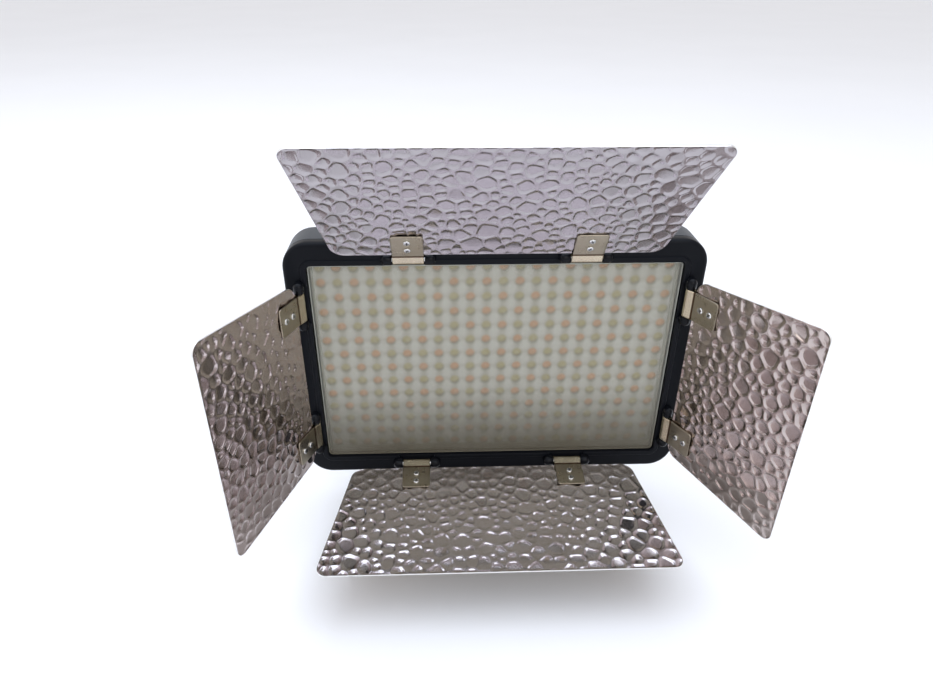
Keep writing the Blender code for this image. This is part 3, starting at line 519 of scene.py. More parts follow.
def hingeMatrix(side, opening=0.0):  # x along the hinge, y away from the opening, z the beam
    joint = joints[f"{side}_door_swing"]
    hinge = Vector(joint["pos_m"])
    outward = Vector((hinge.x, 0, hinge.z - faceCentre.z)).normalized()
    away = outward * math.cos(opening) + beam * math.sin(opening)
    inner = beam * math.cos(opening) - outward * math.sin(opening)
    turned = Matrix((Vector(joint["axis"]), away, inner)).transposed().to_4x4()
    return Matrix.Translation(hinge) @ turned


def doorMatrix(side):
    return hingeMatrix(side, math.radians(-joints[f"{side}_door_swing"]["range_deg"][0]))


def localPoints(node, matrix):
    points = np.array([vertex.co for vertex in nodes[node].data.vertices])
    inverse = np.array(matrix.inverted())
    return points @ inverse[:3, :3].T + inverse[:3, 3]


def middleAndHalf(points):  # along x
    low, high = points[:, 0].min(), points[:, 0].max()
    return (low + high) / 2, (high - low) / 2


def clipMiddle(side, number):
    return middleAndHalf(localPoints(f"clip_{side}_{number}", hingeMatrix(side)))[0]


# Bezel

def makeBezel():
    size = bezelSize
    edge = arc((size["frontRound"], -size["frontRound"]), size["frontRound"], 180, 90, 7)
    seam = size["seamEdge"]
    profile = [(seam, -size["depth"]), (0.15 * seam, -size["depth"] + 0.6 * seam)]
    profile += [(0, -size["depth"] + 1.2 * seam), *edge]
    foot = size["frameWidth"] - size["lipWidth"]
    top = size["lipHeight"]
    small = size["lipRound"]
    profile += [(foot - small, 0), *arc((foot + small, top - small), small, 180, 90, 3)]
    profile += arc((size["frameWidth"] - small, top - small), small, 90, 0, 3)
    profile += [(size["frameWidth"], -size["faceThickness"])]
    profile += [(size["wall"], -size["faceThickness"]), (size["wall"], -size["depth"])]
    loops = []
    for inset, level in profile[::-1]:
        far = inset / size["frameWidth"]
        radius = size["corner"] * (1 - far) + size["openingCorner"] * far
        loops.append(
            roundedLoop(bodyWidth - 2 * inset, bodyHeight - 2 * inset, radius, level)
        )
    bezel = loopSolid("bezel_frame", loops, [bezelBlack], ring=True)
    bezel.matrix_world = faceMatrix
    cutters = [
        cutNotch(bezel, side, clipMiddle(side, number)) for side in sides for number in (1, 2)
    ]
    applied(bezel, 40)
    for cutter in cutters:
        bpy.data.objects.remove(cutter)
    return fixTo(bezel, faceMatrix, "panel", "bezel", "front_bezel")


notchSize = {
    "side": 1.6 * mm,
    "slant": 3 * mm,
    "clipHalf": 8.5 * mm,
    "reach": 9 * mm,
    "overFace": 0.02 * mm,
}


def cutNotch(bezel, side, middle):
    outer = notchSize["clipHalf"] + notchSize["side"]
    inner = outer + notchSize["slant"]
    depth = notchSize["reach"]
    shape = bmesh.new()
    plan = [(-inner, -depth), (inner, -depth), (outer, 0), (-outer, 0)]
    hingeY = joints[f"{side}_door_swing"]["pos_m"][1]
    floor = notchSize["overFace"] - abs(faceY - hingeY)
    for level in (floor, 0):
        for x, y in plan:
            shape.verts.new((middle + x, y, level))
    shape.verts.ensure_lookup_table()
    shape.faces.new([shape.verts[index] for index in (3, 2, 1, 0)])
    shape.faces.new([shape.verts[index] for index in (4, 5, 6, 7)])
    for index in range(4):
        after = (index + 1) % 4
        corners = (index, after, after + 4, index + 4)
        shape.faces.new([shape.verts[corner] for corner in corners])
    bmesh.ops.recalc_face_normals(shape, faces=shape.faces)
    cutter = inScene("notchCutter", meshOf(shape, "notchCutter"))
    cutter.matrix_world = hingeMatrix(side)
    cut = bezel.modifiers.new("notch", "BOOLEAN")
    cut.solver = "EXACT"
    cut.object = cutter
    return cutter


knuckleSize = {
    "radius": 3.1 * mm,
    "straight": 3.1 * mm,
    "fromClip": 8.9 * mm,
    "edge": 0.25 * mm,
    "root": 0.6 * mm,
    "axisHeight": 3 * mm,
}


def knuckleArch(reach, radius):
    size = knuckleSize
    round3d = [
        (reach, radius * math.cos(angle), radius * math.sin(angle))
        for angle in np.linspace(0, math.pi, 19)
    ]
    foot = -size["axisHeight"] - size["root"]
    return [(reach, radius, foot), *round3d, (reach, -radius, foot)]


def makeKnuckles():
    size = knuckleSize
    nose = np.radians(np.linspace(0, 88, 12))
    stations = [(0, size["radius"] - size["edge"]), (size["edge"], size["radius"])]
    stations += [
        (size["straight"] + size["radius"] * math.sin(a), size["radius"] * math.cos(a))
        for a in nose
    ]
    single = loopSolid(
        "knuckle", [knuckleArch(*station) for station in stations], [knuckleBlack]
    )
    points = np.array([vertex.co for vertex in single.data.vertices])
    faces = np.array([list(face.vertices) for face in single.data.polygons], dtype=object)
    allPoints = []
    allFaces = []
    for side in sides:
        station = np.array(hingeMatrix(side))
        for number in (1, 2):
            for way in (-1, 1):
                placed = points * (way, way, 1)
                placed = placed + (clipMiddle(side, number) + way * size["fromClip"], 0, 0)
                start = len(allPoints) * len(points)
                allPoints.append(placed @ station[:3, :3].T + station[:3, 3])
                allFaces += [[start + index for index in face] for face in faces]
    bpy.data.objects.remove(single)
    knuckles = meshPiece(
        "hinge_knuckles", np.concatenate(allPoints), allFaces, [knuckleBlack], smoothTo=50
    )
    return fixTo(knuckles, Matrix.Identity(4), "panel", "bezel")


# Hammered doors

dimple = {
    "sizes": (  # radius, tries for each square metre
        (4.6 * mm, 1500), (3.9 * mm, 6000), (3.4 * mm, 16000), (2.9 * mm, 60000),
        (2.4 * mm, 110000), (2.0 * mm, 60000),
    ),
    "radiusSpread": (0.94, 1.06),
    "depthSpread": (0.80, 1.0),
    "crowding": 0.13,
    "margin": 4 * mm,
    "neighbours": 7,
    "reach": 1.60,
    "corner": 0.60 * mm,
    "ridge": 0.08 * mm,
    "wall": 1.40 * mm,
    "depth": 0.51 * mm,
    "foot": 0.03,
    "bowl": 0.58,
    "bowlRadius": 2 * mm,
    "bowlPower": 1.6,
    "tilt": 0.022,
    "plainBorder": 1.3 * mm,
}
doorSize = {
    "hingeCorner": 8 * mm,
    "outerCorner": 5.5 * mm,
    "sheet": 1.02 * mm,
    "backShare": 0.235,
    "forward": 0.06 * mm,
    "rim": 0.14 * mm,
    "step": 0.58 * mm,
}


def scatter(low, high, seed):
    random = np.random.default_rng(seed)
    area = float(np.prod(high - low))
    centres = np.full((1, 2), 9.0)
    radii = np.zeros(1)
    for radius, tries in dimple["sizes"]:
        for spot in random.uniform(low, high, (int(area * tries), 2)):
            gaps = np.hypot(*(centres - spot).T) - radii - radius
            if gaps.min() > -dimple["crowding"] * radius:
                centres = np.vstack([centres, spot])
                radii = np.append(radii, radius * random.uniform(*dimple["radiusSpread"]))
    return centres[1:], radii[1:], random


def dimpleRelief(seed):
    def height(across, along):
        spots = np.stack([across.ravel(), along.ravel()], 1)
        margin = dimple["margin"]
        centres, radii, random = scatter(spots.min(0) - margin, spots.max(0) + margin, seed)
        depth = random.uniform(*dimple["depthSpread"], len(radii))
        # the small ones are rounder
        bowl = dimple["bowl"] * (dimple["bowlRadius"] / radii) ** dimple["bowlPower"]
        lean = random.normal(0, dimple["tilt"], (len(radii), 2))
        found = np.empty(len(spots))
        batch = 4000
        for start in range(0, len(spots), batch):
            some = spots[start:start + batch]
            offsets = some[:, None, :] - centres[None]
            squared = (offsets ** 2).sum(2)
            power = squared - radii ** 2
            near = np.argpartition(power, dimple["neighbours"], axis=1)
            near = near[:, :dimple["neighbours"]]
            order = np.argsort(np.take_along_axis(power, near, 1), axis=1)
            near = np.take_along_axis(near, order, 1)
            values = np.take_along_axis(power, near, 1)
            own = near[:, 0]
            apart = np.linalg.norm(centres[near[:, 1:]] - centres[own][:, None], axis=2)
            toEdge = (values[:, 1:] - values[:, :1]) / (2 * apart)
            fromMiddle = np.sqrt(np.take_along_axis(squared, own[:, None], 1))
            toEdge = np.hstack([toEdge, dimple["reach"] * radii[own][:, None] - fromMiddle])
            soft = -np.log(np.exp(-toEdge / dimple["corner"]).sum(1)) * dimple["corner"]
            inside = np.clip((soft - dimple["ridge"]) / dimple["wall"], 0, 1)
            foot = inside ** 2 / (inside ** 2 + dimple["foot"])
            deep = depth[own] * (1 - (1 - inside) ** 2.0) * foot
            share = (fromMiddle[:, 0] / radii[own]) ** 2
            deep = deep - bowl[own] * np.clip(share, 0, 1.5) * inside
            middle = np.take_along_axis(offsets, own[:, None, None], 1)[:, 0]
            slope = (middle * lean[own]).sum(1) * inside / dimple["depth"]
            found[start:start + batch] = deep + slope
        return -np.clip(found, 0, 1.05).reshape(across.shape) * dimple["depth"]
    return height


def doorPlan(side, matrix):  # the trapezoid: ends, half width at the hinge, flare and middle
    points = localPoints(f"door_{side}", matrix)
    near, far = points[:, 1].min(), points[:, 1].max()
    middle, half = middleAndHalf(points)
    edge = points[points[:, 0] - middle > 0.75 * half]
    edge = edge[np.argsort(edge[:, 1])]
    widest = np.argmax(np.diff(edge[:, 1]))
    (x1, y1), (x2, y2) = edge[widest, :2], edge[widest + 1, :2]
    flare = (x2 - x1) / (y2 - y1)
    return near, far, x1 - middle - flare * (y1 - near), flare, middle


def doorHalfWidths(rows, near, far, hingeHalf, flare):
    inner, outer = doorSize["hingeCorner"], doorSize["outerCorner"]
    slant = math.hypot(1, flare)
    widths = hingeHalf + flare * (rows - near)
    start = hingeHalf + flare * inner - inner * slant
    startEnd = near + inner - inner * flare / slant
    end = hingeHalf + flare * (far - near - outer) - outer * slant
    endStart = far - outer - outer * flare / slant
    first = rows < startEnd
    last = rows > endStart
    widths[first] = start + np.sqrt(
        np.maximum(0, inner ** 2 - (near + inner - rows[first]) ** 2))
    widths[last] = end + np.sqrt(
        np.maximum(0, outer ** 2 - (rows[last] - far + outer) ** 2))
    return widths


def makeDoor(side, seed):
    matrix = doorMatrix(side)
    near, far, hingeHalf, flare, middle = doorPlan(side, matrix)
    rows = easedRows(
        near, far, doorSize["step"], doorSize["hingeCorner"], doorSize["outerCorner"])
    widths = doorHalfWidths(rows, near, far, hingeHalf, flare)
    door = sheetPiece(
        f"hammered_door_{side}", rows, widths, doorSize["step"], doorSize["sheet"],
        doorSize["rim"], [hammered[side], cutEdge, backPaint], middle, dimpleRelief(seed),
        backShare=doorSize["backShare"], plainBorder=dimple["plainBorder"],
    )
    matrix = matrix @ Matrix.Translation((0, 0, doorSize["forward"]))
    return fixTo(door, matrix, f"door_{side}", "hammered", f"door_{side}")


# Clips and their screws

clipSize = {
    "sheet": 0.9 * mm,
    "barrel": 2.15 * mm,
    "leafOffset": 1.2 * mm,
    "crease": 5.0 * mm,
    "foldShare": 0.62,
    # width of the band of painted shade along the crease
    "paintedCreaseBand": 1.3 * mm,
    "endCorner": 1.6 * mm,
    "rim": 0.16 * mm,
    "step": 0.9 * mm,
    "rowStep": 0.45 * mm,
}


def chaikin(path, rounds):  # rounds a polyline's corners and keeps its ends
    for _ in range(rounds):
        near = 0.75 * path[:-1] + 0.25 * path[1:]
        far = 0.25 * path[:-1] + 0.75 * path[1:]
        cut = np.stack([near, far], 1).reshape(-1, 2)
        path = np.vstack([path[:1], cut[1:-1], path[-1:]])
    return path


def foldedAlong(path):  # bends a flat sheet so that it follows a path in y and z
    lengths = np.concatenate([[0], np.cumsum(np.linalg.norm(np.diff(path, axis=0), axis=1))])
    tangent = np.gradient(path, lengths, axis=0)
    tangent /= np.linalg.norm(tangent, axis=1)[:, None]
    normal = np.stack([-tangent[:, 1], tangent[:, 0]], 1)

    def bend(points):
        at = points[:, 1]
        y, z, outY, outZ = (
            np.interp(at, lengths, column) for column in (*path.T, *normal.T)
        )
        return np.stack(
            [points[:, 0], y + points[:, 2] * outY, z + points[:, 2] * outZ], 1)
    return bend, lengths[-1]


def makeClip(side, number):
    matrix = doorMatrix(side)
    points = localPoints(f"clip_{side}_{number}", matrix)
    middle, half = middleAndHalf(points)
    reach = points[:, 1].max()
    radius, offset = clipSize["barrel"], clipSize["leafOffset"]
    crease = clipSize["crease"]
    span = math.hypot(crease, offset)
    start = math.degrees(math.atan2(offset, crease) + math.acos(radius / span))
    circle = np.array(arc((0, 0), radius, start, 360 - start, 26))
    leaf = np.stack([np.linspace(reach, crease, 9), np.full(9, offset)], 1)
    share = clipSize["foldShare"]
    fold = share * np.array([crease, offset]) + (1 - share) * circle[0]
    path = np.vstack([leaf, fold, circle, fold * (1, -1), leaf[::-1] * (1, -1)])
    bend, length = foldedAlong(chaikin(path, 2))
    corner = clipSize["endCorner"]
    rows = easedRows(0, length, clipSize["rowStep"], corner, corner)
    fromEnd = np.minimum(np.minimum(rows, length - rows), corner)
    inset = corner - np.sqrt(corner ** 2 - (corner - fromEnd) ** 2)
    clip = sheetPiece(
        f"spring_clip_{side}_{number}", rows, half - inset, clipSize["step"],
        clipSize["sheet"], clipSize["rim"], [nickel, creaseNickelPaintedShade, barrelNickelPaintedHighlight], middle,
        bent=bend)
    # faces along the crease get the painted shade, the barrel's faces the painted highlight
    for face in clip.data.polygons:
        past = (crease - face.center.y) / clipSize["paintedCreaseBand"]
        face.material_index = int(past > -0.5) + int(past > 0.5)
    return fixTo(clip, matrix, f"door_{side}", "clip", f"clip_{side}_{number}")


clipScrew = {
    "head": 1.85 * mm,
    "height": 0.8 * mm,
    "round": 0.45 * mm,
    "slotLong": 1.15 * mm,
    "slotWide": 0.27 * mm,
    "shank": 3.2 * mm,
}
housingScrew = {
    "head": 2.6 * mm,
    "height": 1.1 * mm,
    "round": 0.8 * mm,
    "slotLong": 1.6 * mm,
    "slotWide": 0.36 * mm,
    "shank": 6 * mm,
    "fromCorner": 12 * mm,
}


def turnedPoints(profile, sides=28):
    angles = np.linspace(0, 2 * math.pi, sides, endpoint=False)
    return [
        [(radius * math.cos(a), radius * math.sin(a), level) for a in angles]
        for radius, level in profile
    ]


def makeScrewMesh(size, look):
    head, height, curve = size["head"], size["height"], size["round"]
    crown = arc((head - curve, height - curve), curve, 80, 0, 5)
    dome = [(0.1 * head, height), (0.4 * head, height), *crown]
    thread = 0.55 * head
    shank = [(head, 0), (thread, 0), (thread, -size["shank"])]
    screw = loopSolid("screwHead", turnedPoints([*dome, *shank]), [look], smoothTo=50)
    cutters = []
    for long, wide in ((size["slotLong"], size["slotWide"]), (size["slotWide"], size["slotLong"])):
        shape = bmesh.new()
        scale = Matrix.Diagonal((2 * long, 2 * wide, height, 1))
        bmesh.ops.create_cube(
            shape, size=1, matrix=Matrix.Translation((0, 0, 0.9 * height)) @ scale)
        cutter = inScene("slotCutter", meshOf(shape, "slotCutter"))
        # the slot's walls take the dark painted shade
        cutter.data.materials.append(slotPaintedShade)
        cutters.append(cutter)
        cut = screw.modifiers.new("slot", "BOOLEAN")
        cut.solver = "EXACT"
        cut.material_mode = "TRANSFER"
        cut.object = cutter
    applied(screw, 50)
    for cutter in cutters:
        bpy.data.objects.remove(cutter)
    mesh = screw.data
    bpy.data.objects.remove(screw)
    return mesh


def makeScrews(side, mesh, random):
    matrix = doorMatrix(side)
    for number in (1, 2):
        for place in (1, 2):
            node = f"clip_screw_{side}_{number}_{place}"
            points = localPoints(node, matrix)
            x, y = (points[:, :2].min(0) + points[:, :2].max(0)) / 2
            seat = points[:, 2].max() - clipScrew["height"]
            screw = inScene(f"cross_screw_{side}_{number}_{place}", mesh)
            turn = Matrix.Rotation(random.uniform(0, math.pi / 2), 4, "Z")
            spot = matrix @ Matrix.Translation((x, y, seat)) @ turn
            fixTo(screw, spot, f"door_{side}", "steel", node)


# Diffuser and diodes

diffuserSize = {
    "sink": 1.0 * mm,
    "round": 0.8 * mm,
    "gap": 0.3 * mm,
    "skin": 1.6 * mm,
    "depth": 8 * mm,
    "flange": 3 * mm,
    "flangeThickness": 1.5 * mm,
    "leastCorner": 0.3 * mm,
    # painted shade: the span over which the diffuser and its rim darken towards the bottom, and
    # how far that line wanders
    "paintedShadeSpan": (-12 * mm, -76 * mm),
    "paintedShadeDrift": 20 * mm,
}
diodeSize = {
    "pitch": 9.42 * mm,
    "columns": 22,
    "rows": 14,
    "radius": 2.65 * mm,
    "rise": 0.95 * mm,
    "level": -9.0 * mm,
    "field": (216 * mm, 139 * mm),
    "step": 0.8 * mm,
    "thickness": 0.24 * mm,
    "rim": 0.05 * mm,
}
diodeLook = {  # in shares of a cell, from none to full
    "cellShift": 50,
    "spot": (0.36, 0.19),
    "shadow": (0.39, 0.17),
    "shadowAt": (0.02, -0.11),
    "under": (0.02, -0.27),
    "crossing": (0.50, 0.10),
    "crossingFlat": 0.65,
}


def axisOf(w, at, which):
    return w.add("SeparateXYZ", None, {"Vector": at}, which)


def frosted(w):
    at = place3d(w)
    cloud = noise(w, at, 55, 5, 0.6)
    frost = noise(w, at, 2400, 3, 0.6)
    # painted shade: darker, browner and less see-through towards the bottom
    height = axisOf(w, at, 1) + (cloud - 0.5) * diffuserSize["paintedShadeDrift"]
    low = between(w, height, *diffuserSize["paintedShadeSpan"])
    base = tint(w, cloud, (0.325, 0.33, 0.28), (0.385, 0.385, 0.33))
    base = tint(w, low, base, (0.118, 0.103, 0.070))
    return {
        "Base_Color": base,
        "Alpha": 0.25 + low * 0.37,
        "Roughness": 0.36 + cloud * 0.14,
        "Normal": relief(w, frost, 0.02 * mm),
    }


def distance(x, y):
    squared = x * x + y * y
    return squared.maths("SQRT", squared)


def diodeField(w):
    size, look = diodeSize, diodeLook
    at = place3d(w)
    axes = [axisOf(w, at, which) for which in (0, 1)]
    cells = [axis / size["pitch"] + look["cellShift"] for axis in axes]
    offsets = [cell.maths("FRACT", cell) - 0.5 for cell in cells]
    spot = between(w, distance(*offsets), *look["spot"])
    cast = [offset - shift for offset, shift in zip(offsets, look["shadowAt"])]
    shadow = between(w, distance(*cast), *look["shadow"])
    # painted shade over the lower part of each dome
    under = between(w, offsets[1] - 0.3 * offsets[0], *look["under"])
    edges = [0.5 - offset.maths("ABSOLUTE", offset) for offset in offsets]
    crossing = between(
        w, distance(edges[0], edges[1] * look["crossingFlat"]), *look["crossing"])
    inside = 1.0
    for axis, count in zip(axes, (size["columns"], size["rows"])):
        inside = inside * axis.maths("LESS_THAN", axis.maths("ABSOLUTE", axis),
                                     count / 2 * size["pitch"])
    parity = cells[0].maths("FLOOR", cells[0]) + cells[1].maths("FLOOR", cells[1])
    warm = parity.maths("FLOORED_MODULO", parity, 2.0)
    shade = noise(w, at, 90, 4, 0.6)
    lamp = tint(w, warm, (0.62, 0.31, 0.125), (0.46, 0.39, 0.15))
    lamp = tint(w, under * 0.6, lamp, (0.20, 0.165, 0.115))
    board = tint(w, crossing, (0.46, 0.44, 0.365), (0.70, 0.69, 0.615))
    board = tint(w, shade * 0.3, board, (0.60, 0.62, 0.57))
    board = tint(w, shadow * inside * 0.6, board, (0.20, 0.18, 0.135))
    return {
        "Base_Color": tint(w, spot * inside * 0.97, board, lamp),
        "Roughness": 0.35 + shade * 0.2,
        "Normal": relief(w, shade, 0.04 * mm),
    }


def trayRim(w):
    at = place3d(w)
    cloud = noise(w, at, 300, 4, 0.6)
    # the rim is paler than the frosted face, a painted highlight, and darker towards the bottom,
    # painted shade
    low = between(w, axisOf(w, at, 1), *diffuserSize["paintedShadeSpan"])
    base = tint(w, cloud, (0.40, 0.415, 0.365), (0.47, 0.48, 0.43))
    return {
        "Base_Color": tint(w, low, base, (0.21, 0.19, 0.14)),
        "Roughness": 0.25 + cloud * 0.15,
        "Normal": relief(w, cloud, 0.02 * mm),
    }


trayEdgePaintedLight = material("trayEdgePaintedLight", trayRim)
diffuserWhite = material("frostedAcrylic", frosted, Specular_IOR_Level=0.4)
diodeLens = material("diodeLens", diodeField)
boardWhite = material(
    "boardWhite",
    mottled((60, 5, 0.6), (0.62, 0.64, 0.60), (0.78, 0.79, 0.75), (700, 3, 0.5),
            None, (0.3, 0.25), 0.03 * mm, byGrain=True))


def makeDiffuser():
    size = diffuserSize
    width = bodyWidth - 2 * (bezelSize["frameWidth"] + size["gap"])
    height = bodyHeight - 2 * (bezelSize["frameWidth"] + size["gap"])
    corner = bezelSize["openingCorner"] - size["gap"]
    front = -size["sink"]
    back = front - size["depth"]
    flangeTop = -bezelSize["faceThickness"] - size["gap"]
    flangeLow = flangeTop - size["flangeThickness"]
    profile = arc((size["round"], front - size["round"]), size["round"], 90, 180, 6)
    profile += [(0, flangeTop), (-size["flange"], flangeTop), (-size["flange"], flangeLow)]
    profile += [(0, flangeLow), (0, back), (size["skin"], back)]
    profile += [(size["skin"], front - size["skin"])]
    loops = []
    for inset, level in profile:
        radius = max(size["leastCorner"], corner - inset)
        loops.append(roundedLoop(width - 2 * inset, height - 2 * inset, radius, level, 8))
    tray = loopSolid("diffuser_tray", loops, [diffuserWhite, trayEdgePaintedLight])
    for face in tray.data.polygons:
        face.material_index = int(face.area < 0.5 * width * height)
    return fixTo(tray, faceMatrix, "panel", "diffuser", "diffuser")


def makeDiodes():
    size = diodeSize
    width, height = size["field"]
    rows = easedRows(-height / 2, height / 2, size["step"])

    def domes(across, along):
        total = np.zeros(across.shape)
        for values, count in ((across, size["columns"]), (along, size["rows"])):
            cell = (values / size["pitch"] + diodeLook["cellShift"]) % 1 - 0.5
            total = total + cell ** 2 + 9 * (np.abs(values) > count / 2 * size["pitch"])
        far = np.sqrt(total) * size["pitch"] / size["radius"]
        return size["rise"] * np.exp(-far ** 3)

    field = sheetPiece(
        "diode_lenses", rows, np.full(len(rows), width / 2), size["step"], size["thickness"],
        size["rim"], [diodeLens] * 3, height=domes)
    return fixTo(field, faceMatrix @ Matrix.Translation((0, 0, size["level"])), "panel", "board")


# Controls on the back

backY = housingHigh.y
knobSize = {
    "radius": 8.5 * mm,
    "skirt": 0.7 * mm,
    "round": 1.1 * mm,
    "recess": 0.35 * mm,
    "rim": 1.5 * mm,
    "dish": 0.3 * mm,
    "dishLip": 0.1 * mm,
    "dishRound": 0.15 * mm,
    "flutes": 36,
    "fluteDepth": 0.32 * mm,
    "fromHousing": 0.4 * mm,
    "fluteEnd": 0.5 * mm,
    "neckIn": 2 * mm,
    "markWide": 0.8 * mm,
    "markLong": 4.0 * mm,
    "scaleRadius": 11.4 * mm,
    "scaleTurn": 140,
    "ticks": 11,
    "tick": (0.35 * mm, 1.2 * mm),
    "longTick": 1.9 * mm,
}


def backMatrix(node):  # at the middle of a control on the back, z away from the panel
    low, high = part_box(node)
    spot = Matrix.Translation(((low.x + high.x) / 2, backY, (low.z + high.z) / 2))
    return spot @ Matrix.Rotation(math.radians(-90), 4, "X") @ Matrix.Rotation(math.pi, 4, "Z")


def makeKnob(name):
    size = knobSize
    node = f"knob_{name}"
    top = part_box(node)[1].y - backY
    radius, curve = size["radius"], size["round"]
    crown = arc((radius - curve, top - curve), curve, 90, 0, 6)
    inner = radius - curve - size["rim"]
    profile = [
        (inner - size["dish"], top - size["recess"], 0),
        (inner, top - size["dishLip"], 0),
        (inner + size["dishRound"], top, 0),
    ]
    profile += [(reach, level, 1 - (level - top + curve) / curve) for reach, level in crown]
    foot = size["fromHousing"]
    neck = radius - size["fluteDepth"] - size["neckIn"]
    profile += [
        (radius, foot + size["skirt"] + size["fluteEnd"], 1),
        (radius, foot + size["skirt"], 0),
        (radius, foot, 0),
        (neck, foot, 0),
        (neck, size["dishLip"], 0),
    ]
    angles = np.linspace(0, 2 * math.pi, 8 * size["flutes"], endpoint=False)
    groove = size["fluteDepth"] * (0.5 - 0.5 * np.cos(angles * size["flutes"])) ** 2
    loops = []
    for reach, level, share in profile:
        reaches = reach - share * groove
        loops.append([
            (r * math.cos(a), r * math.sin(a), level) for r, a in zip(reaches, angles)
        ])
    knob = loopSolid(f"fluted_knob_{name}", loops, [softBlack], smoothTo=35)
    matrix = backMatrix(node)
    fixTo(knob, matrix, node, "knob", node)
    middle = inner - size["markLong"] / 2
    level = top - size["recess"]
    mark = printed(
        f"knob_mark_{name}",
        [(0, middle, size["markWide"], size["markLong"], 0)], markWhite, level)
    fixTo(mark, matrix, node, "knob")
    ticks = []
    wide, short = size["tick"]
    for share in np.linspace(-1, 1, size["ticks"]):
        angle = math.radians(size["scaleTurn"]) * share
        long = size["longTick"] if share in (-1, 0, 1) else short
        reach = size["scaleRadius"] + long / 2
        ticks.append((reach * math.sin(angle), reach * math.cos(angle), wide, long, -angle))
    scale = printed(f"knob_scale_{name}", ticks, markWhite)
    fixTo(scale, matrix, "panel", "housing")


printSize = {"above": 0.02 * mm, "thickness": 0.06 * mm, "corner": 0.3}


def printed(name, bars, look, level=0.0):  # bars: x, y, width, height and turn
    shape = bmesh.new()
    above, thick = printSize["above"], printSize["thickness"]
    for x, y, width, height, turn in bars:
        spot = Matrix.Translation((x, y, level + above)) @ Matrix.Rotation(turn, 4, "Z")
        scale = Matrix.Diagonal((width, height, thick, 1))
        made = bmesh.ops.create_cube(shape, size=1, matrix=spot @ scale)
        upright = [
            edge for edge in {e for v in made["verts"] for e in v.link_edges}
            if abs((edge.verts[0].co - edge.verts[1].co).z) > thick / 2
        ]
        bmesh.ops.bevel(
            shape, geom=upright, offset=printSize["corner"] * min(width, height), segments=3,
            affect="EDGES")
    mesh = meshOf(shape, name)
    mesh.materials.append(look)
    return inScene(name, mesh)


displaySize = {
    "level": "100",
    "warmth": "5600",
    "levelHeight": 9.5 * mm,
    "warmthHeight": 5.2 * mm,
    "levelAt": (-7.5 * mm, 2.2 * mm),
    "warmthAt": (10 * mm, 4.2 * mm),
    "extrude": 0.03 * mm,
    "above": 0.04 * mm,
    "bars": 8,
    "bar": (1.3 * mm, 2.0 * mm),
    "barGap": 0.715 * mm,
    "barsAt": (-16.5 * mm, -6.8 * mm),
    "batteryAt": (10 * mm, -5.6 * mm),
    "batteryWalls": (8.8 * mm, 5.2 * mm),
    "batteryLong": 9 * mm,
    "wall": 0.35 * mm,
    "charge": (1.8 * mm, 3.6 * mm),
    "chargePitch": 2.4 * mm,
}


def lettering(name, text, height, place):
    curve = bpy.data.curves.new(name, "FONT")
    curve.body = text
    curve.size = height
    curve.extrude = displaySize["extrude"]
    curve.align_x = "CENTER"
    curve.align_y = "CENTER"
    letters = inScene(name, curve)
    bpy.context.view_layer.update()
    graph = bpy.context.evaluated_depsgraph_get()
    mesh = bpy.data.meshes.new_from_object(letters.evaluated_get(graph))
    bpy.data.objects.remove(letters)
    mesh.transform(Matrix.Translation((*place, displaySize["above"])))
    mesh.materials.clear()
    mesh.materials.append(digitGlow)
    return inScene(name, mesh)


def makeDisplay():
    size = displaySize
    matrix = backMatrix("screen_window")
    level = lettering("display_level", size["level"], size["levelHeight"], size["levelAt"])
    warmth = lettering("display_warmth", size["warmth"], size["warmthHeight"], size["warmthAt"])
    x, y = size["barsAt"]
    pitch = size["bar"][0] + size["barGap"]
    bars = [(x + index * pitch, y, *size["bar"], 0) for index in range(size["bars"])]
    x, y = size["batteryAt"]
    wide, high = size["batteryWalls"]
    wall = size["wall"]
    bars += [(x, y + way * high, size["batteryLong"], wall, 0) for way in (-0.5, 0.5)]
    bars += [(x + way * wide, y, wall, high, 0) for way in (-0.5, 0.5)]
    bars += [(x + way * size["chargePitch"], y, *size["charge"], 0) for way in (-1, 0, 1)]
    marks = printed("display_bars", bars, digitGlow)
    for piece in (level, warmth, marks):
        fixTo(piece, matrix, "panel", "screen")


def makeHousingScrews(random):
    mesh = makeScrewMesh(housingScrew, blackSteel)
    inset = housingScrew["fromCorner"]
    for place, (wayX, wayZ) in enumerate(((-1, -1), (-1, 1), (1, -1), (1, 1)), start=1):
        screw = inScene(f"housing_screw_{place}", mesh)
        spot = Matrix.Translation((
            wayX * (bodyWidth / 2 - inset), backY,
            faceCentre.z + wayZ * (bodyHeight / 2 - inset),
        ))
        turn = Matrix.Rotation(random.uniform(0, math.pi / 2), 4, "Z")
        stand = Matrix.Rotation(math.radians(-90), 4, "X")
        fixTo(screw, spot @ stand @ turn, "panel", "steel")


switchMarks = {
    "reach": 11.6 * mm,
    "bar": (0.45 * mm, 2.8 * mm),
    "ringRadius": 1.5 * mm,
    "ringBar": (0.62 * mm, 0.3 * mm),
    "ringSteps": 16,
}


def makeSwitchMarks():  # a bar for on and a ring for off
    size = switchMarks
    marks = []
    for angle in np.linspace(0, 2 * math.pi, size["ringSteps"], endpoint=False):
        x, y = size["ringRadius"] * math.cos(angle), size["ringRadius"] * math.sin(angle)
        marks.append((x, y - size["reach"], *size["ringBar"], angle + math.pi / 2))
    marks.append((0, size["reach"], *size["bar"], 0))
    piece = printed("switch_marks", marks, markWhite)
    fixTo(piece, backMatrix("switch_rocker"), "panel", "housing")


# Build

